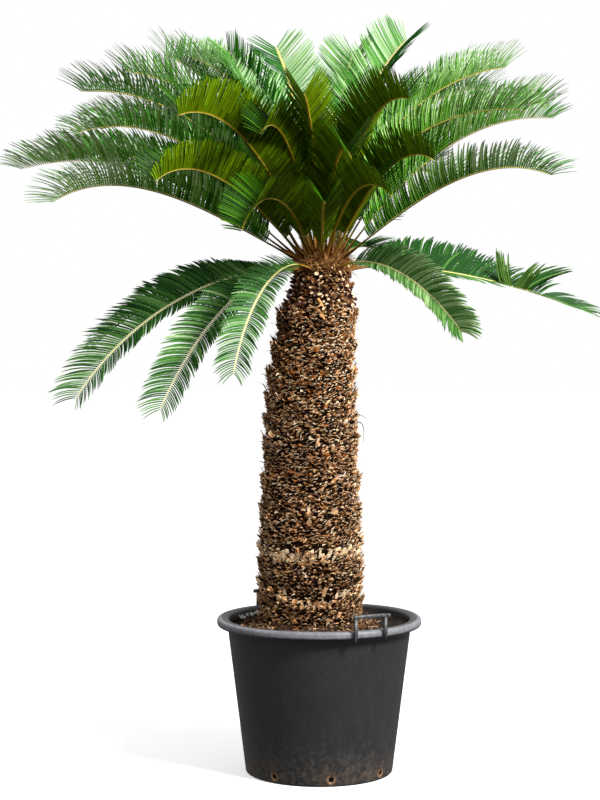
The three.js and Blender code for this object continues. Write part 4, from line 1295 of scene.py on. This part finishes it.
def pot_finish(name, scuffed_all_over):
    """The mask of each kind of dirt and wear, and of the rim's painted highlight, is noise set against a step,
    times where on the pot it lies.
    """
    finish = Finish(name)
    x, y, z = finish.axes()
    radius = (x * x + y * y).root()
    stain = from_hole(finish, x, y, z)
    cloud, fine, grit = finish.noise(9, 4), finish.noise(70, 4), finish.noise(420, 2)
    streaks = finish.noise(60, 3, (1, 1, 0.12))
    colour = finish.mix(cloud, (0.013, 0.0134, 0.0145, 1), (0.021, 0.0214, 0.023, 1))
    dust = (fine * 0.6 + streaks * 0.4).step(0.42, 0.8) * (z.step(0.2, 0) * 0.42 + 0.08)
    colour = finish.mix(dust, colour, (0.115, 0.105, 0.09, 1))
    earth = (cloud * 0.3 + fine * 0.4 + grit * 0.3).step(0.42, 0.62) * z.step(0.12, 0.0) * 0.7
    colour = finish.mix(earth, colour, (0.10, 0.062, 0.036, 1))
    ring = (stain + fine * 0.004).step(STAIN_EDGE, STAIN_MIDDLE)
    colour = finish.mix(ring * 0.9, colour, (0.22, 0.12, 0.06, 1))
    specks = grit.step(0.7, 0.78)
    colour = finish.mix(specks * 0.35, colour, (0.30, 0.28, 0.24, 1))
    if scuffed_all_over:
        wear_and_painted_highlight = fine.step(0.4, 0.8) * (z.step(0.53, 0.545) * 0.5 + 0.25)
    else:
        on_rim = z.step(rim_foot - 0.004, rim_foot + 0.006)
        on_rim = on_rim * radius.step(POT_NECK_RADIUS + 0.002, POT_NECK_RADIUS + 0.012)
        # The edge term paints a highlight along the rim's outer top edge, on top of the scuffs.
        edge = z.step(POT_HEIGHT - 0.024, POT_HEIGHT - 0.014)
        edge = edge * radius.step(RIM_RADIUS - 0.018, RIM_RADIUS - 0.010)
        wear_and_painted_highlight = (fine * 0.7 + cloud * 0.2 + edge * 0.5).step(0.35, 1.15) * on_rim
    colour = finish.mix(wear_and_painted_highlight, colour, (0.19, 0.195, 0.21, 1))
    wall_here = z * ((POT_NECK_RADIUS - FOOT_RADIUS) / rim_foot) + FOOT_RADIUS
    inside = (wall_here - radius).step(WALL * 0.4, WALL * 0.8) * z.step(0.3, 0.36)
    colour = finish.mix(inside * fine.step(0.3, 0.6), colour, (0.034, 0.028, 0.024, 1))
    rough = 0.42 + dust * 0.3 + earth * 0.3 + wear_and_painted_highlight * 0.1
    relief = finish.bump(fine * 0.3 + grit * 0.7, 0.0007)
    return finish.done(Base_Color=colour, Roughness=rough, Normal=relief)


black = pot_finish("pot_black", scuffed_all_over=False)
pot = make_piece("pot_wall", [stitch(pot_rings[None])], [black], ["pot"], smooth=True)


# %% The drain holes
def cut_from(piece, rings):
    """Cuts closed tubes out of a piece with a Boolean modifier, and keeps the mesh that it gives."""
    points, groups = stitch(rings)
    mesh = bpy.data.meshes.new("cutter")
    mesh.from_pydata(points.tolist(), [], [face for faces, _ in groups for face in faces.tolist()])
    cutter = bpy.data.objects.new("cutter", mesh)
    bpy.context.scene.collection.objects.link(cutter)
    modifier = piece.modifiers.new("cut", "BOOLEAN")
    modifier.operation, modifier.solver, modifier.object = "DIFFERENCE", "EXACT", cutter
    shape = bpy.data.meshes.new_from_object(piece.evaluated_get(bpy.context.evaluated_depsgraph_get()))
    piece.modifiers.clear()
    old, piece.data = piece.data, shape
    shape.name = old.name
    bpy.data.objects.remove(cutter)


CUTTER_REACH, HOLE_CORNERS = 0.03, 24

outward, around = compass((FIRST_HOLE + np.arange(HOLE_COUNT) * 360 / HOLE_COUNT) * DEGREE)
reach = np.array([FOOT_RADIUS - CUTTER_REACH, FOOT_RADIUS + CUTTER_REACH])[:, None]
line = UP * HOLE_LEVEL + outward[:, None] * reach
across = np.broadcast_to(around[:, None] * HOLE_RADIUS, line.shape)
above = np.broadcast_to(UP * HOLE_RADIUS, line.shape)
cut_from(pot, carry(line, across, above, circle(HOLE_CORNERS)))
print("pot with", HOLE_COUNT, "holes:", len(pot.data.polygons), "faces")

# %% [markdown]
# ## The handles
#
# Two loops stand outside the rim. Each is two legs and a bar, with rounded edges, and the bar runs
# on a little past one leg. A leg narrows to a foot just below the rim. They could be cubes with a
# Bevel modifier. Here they are soft squares carried along a straight path, so that rows of shares
# can draw them in at their ends.

# %% Handles
HANDLE_WIDTH, HANDLE_LEG, HANDLE_BAR, HANDLE_DEPTH = 0.118, 0.014, 0.014, 0.012
HANDLE_FOOT, HANDLE_TOP, HANDLE_OVERHANG, HANDLE_AZIMUTH = 0.464, 0.546, 0.010, -61.5
HANDLE_SEAT = math.sqrt(RIM_RADIUS**2 - (HANDLE_WIDTH / 2 - HANDLE_LEG) ** 2) + 0.0003
LEG_RISES = [0, 0.002, 0.012, 0.02]
LEG_WIDTHS, LEG_DEPTHS = np.array([[0.35, 0.55, 0.66, 0.9, 0.82], [0.4, 0.6, 0.8, 0.95, 0.9]])[:, :, None]
BAR_STATIONS = np.array([-1, -0.985, -0.94, 0, 0.94, 0.99, 1.0])
BAR_SHARES = np.array([0.5, 0.8, 0.95, 0.9, 0.95, 0.85, 0.6])[:, None]
BAR_WAVE, BAR_WAVES = 0.0008, 40
SOFT_SQUARE = arc((0, 0), (1, 1), 0, 360 - 360 / 16, 16, 0.5)


def handle_shells(azimuth):
    """Two legs and a bar, which is a little bent: its middle waves by 0.8 mm."""
    outward, around = (vectors[0] for vectors in compass(np.array([azimuth * DEGREE])))
    middle = outward * (HANDLE_SEAT + HANDLE_DEPTH / 2)
    bar_level = HANDLE_TOP - HANDLE_BAR / 2
    levels = np.array([*(HANDLE_FOOT + rise for rise in LEG_RISES), bar_level])[:, None]
    shells = []
    for side in (-1, 1):
        line = middle + around * side * (HANDLE_WIDTH / 2 - HANDLE_LEG / 2) + UP * levels
        wide, deep = around * (HANDLE_LEG / 2 * LEG_WIDTHS), -outward * (HANDLE_DEPTH / 2 * LEG_DEPTHS)
        shells.append(stitch(carry(line[None], wide[None], deep[None], SOFT_SQUARE)))
    low, high = -HANDLE_WIDTH / 2, HANDLE_WIDTH / 2 + HANDLE_OVERHANG
    along = (low + high) / 2 + BAR_STATIONS * (high - low) / 2
    line = middle + around * along[:, None] + UP * (bar_level + BAR_WAVE * np.cos(along * BAR_WAVES))[:, None]
    rings = carry(line[None], (outward * HANDLE_DEPTH / 2 * BAR_SHARES)[None],
                  (UP * (HANDLE_BAR / 2 - BAR_WAVE) * BAR_SHARES)[None], SOFT_SQUARE)
    shells.append(stitch(rings[:, ::-1]))
    return shells


HANDLE_FINISH = pot_finish("handle_black", scuffed_all_over=True)
for name, azimuth in (("handle_front", HANDLE_AZIMUTH), ("handle_back", HANDLE_AZIMUTH + 180)):
    make_piece(f"{name}_loop", handle_shells(azimuth), [HANDLE_FINISH], [name], smooth=True)

# %% [markdown]
# ## Soil and litter
#
# The soil is dark and lumpy, darker still with painted shade, and lies a little below the rim. It is
# banked up against the pot and mounded round the trunk's foot. There it is covered by what the trunk
# sheds: chips of old stubs, tan and rusty. Some white grains lie against the wall at the back left. A
# Displace modifier could roughen a plain disc, but a formula also knows where the wall and the trunk
# are.

# %% Soil
SOIL_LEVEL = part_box("soil")[1][2]
SOIL_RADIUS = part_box("soil")[1][0]
SOIL_COLUMNS, SOIL_RINGS, SIDE_RINGS, SOIL_MIDDLE = 200, 90, 4, 0.02
BANK_HEIGHT, BANK_WIDTH = 0.010, 0.03
MOUND_HEIGHT, MOUND_WIDTH = 0.012, 0.035
LUMPINESS, SOIL_SINK = 0.045, 0.003


def soil_finish():
    """Dark potting mix with paler crumbs, darkened further as painted shade."""
    finish = Finish("soil_dark_and_shaded")
    lumps, crumbs = finish.noise(60, 4), finish.noise(330, 3)
    colour = finish.mix(lumps * 0.5 + crumbs * 0.5, (0.004, 0.0034, 0.003, 1), (0.036, 0.028, 0.022, 1))
    colour = finish.mix(crumbs.step(0.66, 0.72) * 0.6, colour, (0.16, 0.10, 0.06, 1))
    relief = finish.bump(crumbs * 0.7 + lumps * 0.3, 0.004)
    return finish.done(Base_Color=colour, Roughness=0.95, Specular_IOR_Level=0.08, Normal=relief)


def rough_ground(x, y, random, waves=26, coarsest=14, finest=190):
    """A sum of sines in drawn directions, smaller as they are finer: sin(wave * distance + phase) / wave."""
    total = 0 * x
    for wave in np.geomspace(coarsest, finest, waves):
        direction, phase = random.uniform(0, 2 * np.pi, 2)
        total = total + np.sin(wave * (x * math.cos(direction) + y * math.sin(direction)) + phase) / wave
    return total


random = np.random.default_rng(71)
azimuths = all_round(SOIL_COLUMNS)
radii = np.linspace(1, SOIL_MIDDLE, SOIL_RINGS)[:, None] * (SOIL_RADIUS - 0.0005)
x, y = radii * np.cos(azimuths), radii * np.sin(azimuths)
bank = BANK_HEIGHT * np.clip((radii - SOIL_RADIUS + BANK_WIDTH) / BANK_WIDTH, 0, 1) ** 2
mound = MOUND_HEIGHT * np.exp(-(((np.hypot(x - TRUNK_X, y) - TRUNK_RADIUS) / MOUND_WIDTH) ** 2))
top = SOIL_LEVEL - SOIL_SINK + LUMPINESS * rough_ground(x, y, random) + bank + mound
side_levels = np.linspace(0.0055, SOIL_LEVEL - 0.012, SIDE_RINGS)[:, None]
side_radii = inner_foot - 0.0008 + (SOIL_RADIUS - inner_foot) * side_levels / SOIL_LEVEL
sides = np.stack([side_radii * np.cos(azimuths), side_radii * np.sin(azimuths), side_levels + 0 * azimuths],
                 axis=-1)
ground = np.concatenate([sides, np.stack([x, y, top], axis=-1)])
make_piece("soil_bed", [stitch(ground[None])], [soil_finish()], ["soil"], smooth=True)

# %% Chips and grains
CHIP_PAINTS = [
    paint("chip_dark", (0.025, 0.015, 0.010), 0.95),
    paint("chip_brown", (0.075, 0.042, 0.024), 0.9),
    paint("chip_rust", (0.24, 0.095, 0.028), 0.9),
    paint("chip_tan", (0.32, 0.20, 0.11), 0.9),
    paint("chip_pale", (0.60, 0.45, 0.30), 0.85),
    paint("grain_white", (0.8, 0.79, 0.76), 0.8),
]
GRAIN = len(CHIP_PAINTS) - 1
SQUARE = [(1, 1), (-1, 1), (-1, -1), (1, -1)]
CHIP_COUNT, CHIP_SHARES, CHIP_TAPER = 1100, [0.27, 0.33, 0.15, 0.18, 0.07], 0.6
CHIP_LENGTHS, CHIP_WIDTHS, CHIP_THICKNESSES = (0.008, 0.026), (0.0015, 0.0045), (0.0007, 0.0018)
LITTER_START, LITTER_REACH, LITTER_MARGIN, LITTER_LEVEL, LITTER_HEAP = 0.002, 0.09, 0.012, 0.006, 0.02
GRAIN_COUNT, GRAIN_AZIMUTHS, GRAIN_DEPTHS = 46, (112, 158), (0.003, 0.02)
GRAIN_LEVELS, GRAIN_SIZES = 0.008, (0.0015, 0.0045)


def chip_shell(centre, direction, size, shade, random):
    """Flat chips: thin blocks along a direction, drawn in at the far end. A size is length, width, height."""
    across = unit(np.cross(direction, random.normal(0, 1, direction.shape)))
    line = centre[:, None] + direction[:, None] * (size[:, :1] * np.array([-0.5, 0.5]))[..., None]
    taper = np.array([1, CHIP_TAPER])[:, None]
    rings = carry(line, across[:, None] * size[:, None, 1:2] * taper,
                  np.cross(direction, across)[:, None] * size[:, None, 2:3] * taper, SQUARE)
    walls = np.broadcast_to(shade[:, None, None], (len(centre), 1, len(SQUARE)))
    return stitch(rings, walls=walls, foot=shade, ends=shade)


random = np.random.default_rng(83)
azimuth = random.uniform(0, 2 * np.pi, CHIP_COUNT)
from_trunk = random.gamma(1.6, 0.013, CHIP_COUNT).clip(0, LITTER_REACH)
x = TRUNK_X + (TRUNK_RADIUS + LITTER_START + from_trunk) * np.cos(azimuth)
y = (TRUNK_RADIUS + LITTER_START + from_trunk) * np.sin(azimuth)
near = np.hypot(x, y) < SOIL_RADIUS - LITTER_MARGIN
x, y, from_trunk, count = x[near], y[near], from_trunk[near], int(near.sum())
z = SOIL_LEVEL + LITTER_LEVEL + LITTER_HEAP * np.exp(-from_trunk / 0.02) * random.random(count)
lie = unit(np.stack([random.normal(0, spread, count) for spread in (1, 1, 0.45)], axis=-1))
sizes = (CHIP_LENGTHS, CHIP_WIDTHS, CHIP_THICKNESSES)
size = np.stack([random.uniform(*limits, count) for limits in sizes], axis=-1)
shade = random.choice(GRAIN, count, p=CHIP_SHARES)
chips = chip_shell(np.stack([x, y, z], axis=-1), lie, size, shade, random)

azimuth = random.uniform(*GRAIN_AZIMUTHS, GRAIN_COUNT) * DEGREE
radius = SOIL_RADIUS - random.uniform(*GRAIN_DEPTHS, GRAIN_COUNT)
z = SOIL_LEVEL + GRAIN_LEVELS + random.uniform(0, GRAIN_LEVELS, GRAIN_COUNT)
centre = np.stack([radius * np.cos(azimuth), radius * np.sin(azimuth), z], axis=-1)
size = random.uniform(*GRAIN_SIZES, (GRAIN_COUNT, 1)) * np.array([2, 1, 0.8])
lie = unit(random.normal(0, 1, (GRAIN_COUNT, 3)))
grains = chip_shell(centre, lie, size, np.full(GRAIN_COUNT, GRAIN), random)
make_piece("soil_litter", [chips, grains], CHIP_PAINTS)

# %% [markdown]
# ## Floor and light
#
# The plant stands on a plain pale floor before a white ground. White light comes from all round, as
# in a studio tent, and one large soft lamp at the right and in front gives the trunk and fronds
# their lit side. A sky image would bring tints and a horizon, so plain lights are used.

# %% Floor
FLOOR_SIZE = 60
LAMP_PLACE, LAMP_AIM, LAMP_SIZE, LAMP_WATTS = (3.9, -3.6, 4.9), (0, 0, 1.2), 1.6, 950
SKY_ABOVE, SKY_BELOW = 0.75, 0.2

floor_finish = Finish("floor_pale").done(Base_Color=(0.86, 0.86, 0.86, 1), Roughness=0.9,
                                         Emission_Color=(1, 1, 1, 1), Emission_Strength=0.45)
floor_mesh = bpy.data.meshes.new("floor")
edge = FLOOR_SIZE / 2
corners = [(-edge, -edge, 0), (edge, -edge, 0), (edge, edge, 0), (-edge, edge, 0)]
floor_mesh.from_pydata(corners, [], [(0, 1, 2, 3)])
floor_mesh.materials.append(floor_finish)
floor = bpy.data.objects.new("floor", floor_mesh)
bpy.context.scene.collection.objects.link(floor)
floor.visible_diffuse = floor.visible_glossy = False
print("floor:", FLOOR_SIZE, "m square")

# %% [markdown]
# The sky is brighter above than below, and the camera sees plain white instead of it. A mix shader
# makes that choice: the Light Path node tells whether a ray comes straight from the camera.

# %% Sky and lamp
world = bpy.data.worlds.new("studio")
world.use_nodes = True
nodes, links = world.node_tree.nodes, world.node_tree.links
spot, height, ramp = (nodes.new(f"ShaderNode{kind}") for kind in ("TexCoord", "SeparateXYZ", "MapRange"))
links.new(spot.outputs["Generated"], height.inputs[0])
links.new(height.outputs["Z"], ramp.inputs["Value"])
for name, value in {"From Min": -0.15, "From Max": 0.4, "To Min": SKY_BELOW, "To Max": SKY_ABOVE}.items():
    ramp.inputs[name].default_value = value
light, seen = nodes["Background"], nodes.new("ShaderNodeBackground")
links.new(ramp.outputs["Result"], light.inputs["Strength"])
light.inputs["Color"].default_value = seen.inputs["Color"].default_value = (1, 1, 1, 1)
ray, choice = nodes.new("ShaderNodeLightPath"), nodes.new("ShaderNodeMixShader")
links.new(ray.outputs["Is Camera Ray"], choice.inputs[0])
links.new(light.outputs[0], choice.inputs[1])
links.new(seen.outputs[0], choice.inputs[2])
links.new(choice.outputs[0], nodes["World Output"].inputs["Surface"])
bpy.context.scene.world = world

lamp = bpy.data.objects.new("lamp", bpy.data.lights.new("lamp", "AREA"))
lamp.data.energy, lamp.data.size = LAMP_WATTS, LAMP_SIZE
lamp.location = LAMP_PLACE
aim = np.array(LAMP_PLACE) - np.array(LAMP_AIM)
lamp.rotation_euler = (math.atan2(math.hypot(aim[0], aim[1]), aim[2]), 0, math.atan2(aim[0], -aim[1]))
bpy.context.scene.collection.objects.link(lamp)
bpy.context.scene.view_settings.view_transform = "Standard"
print("lamp:", LAMP_WATTS, "W,", LAMP_SIZE, "m wide, at", LAMP_PLACE)
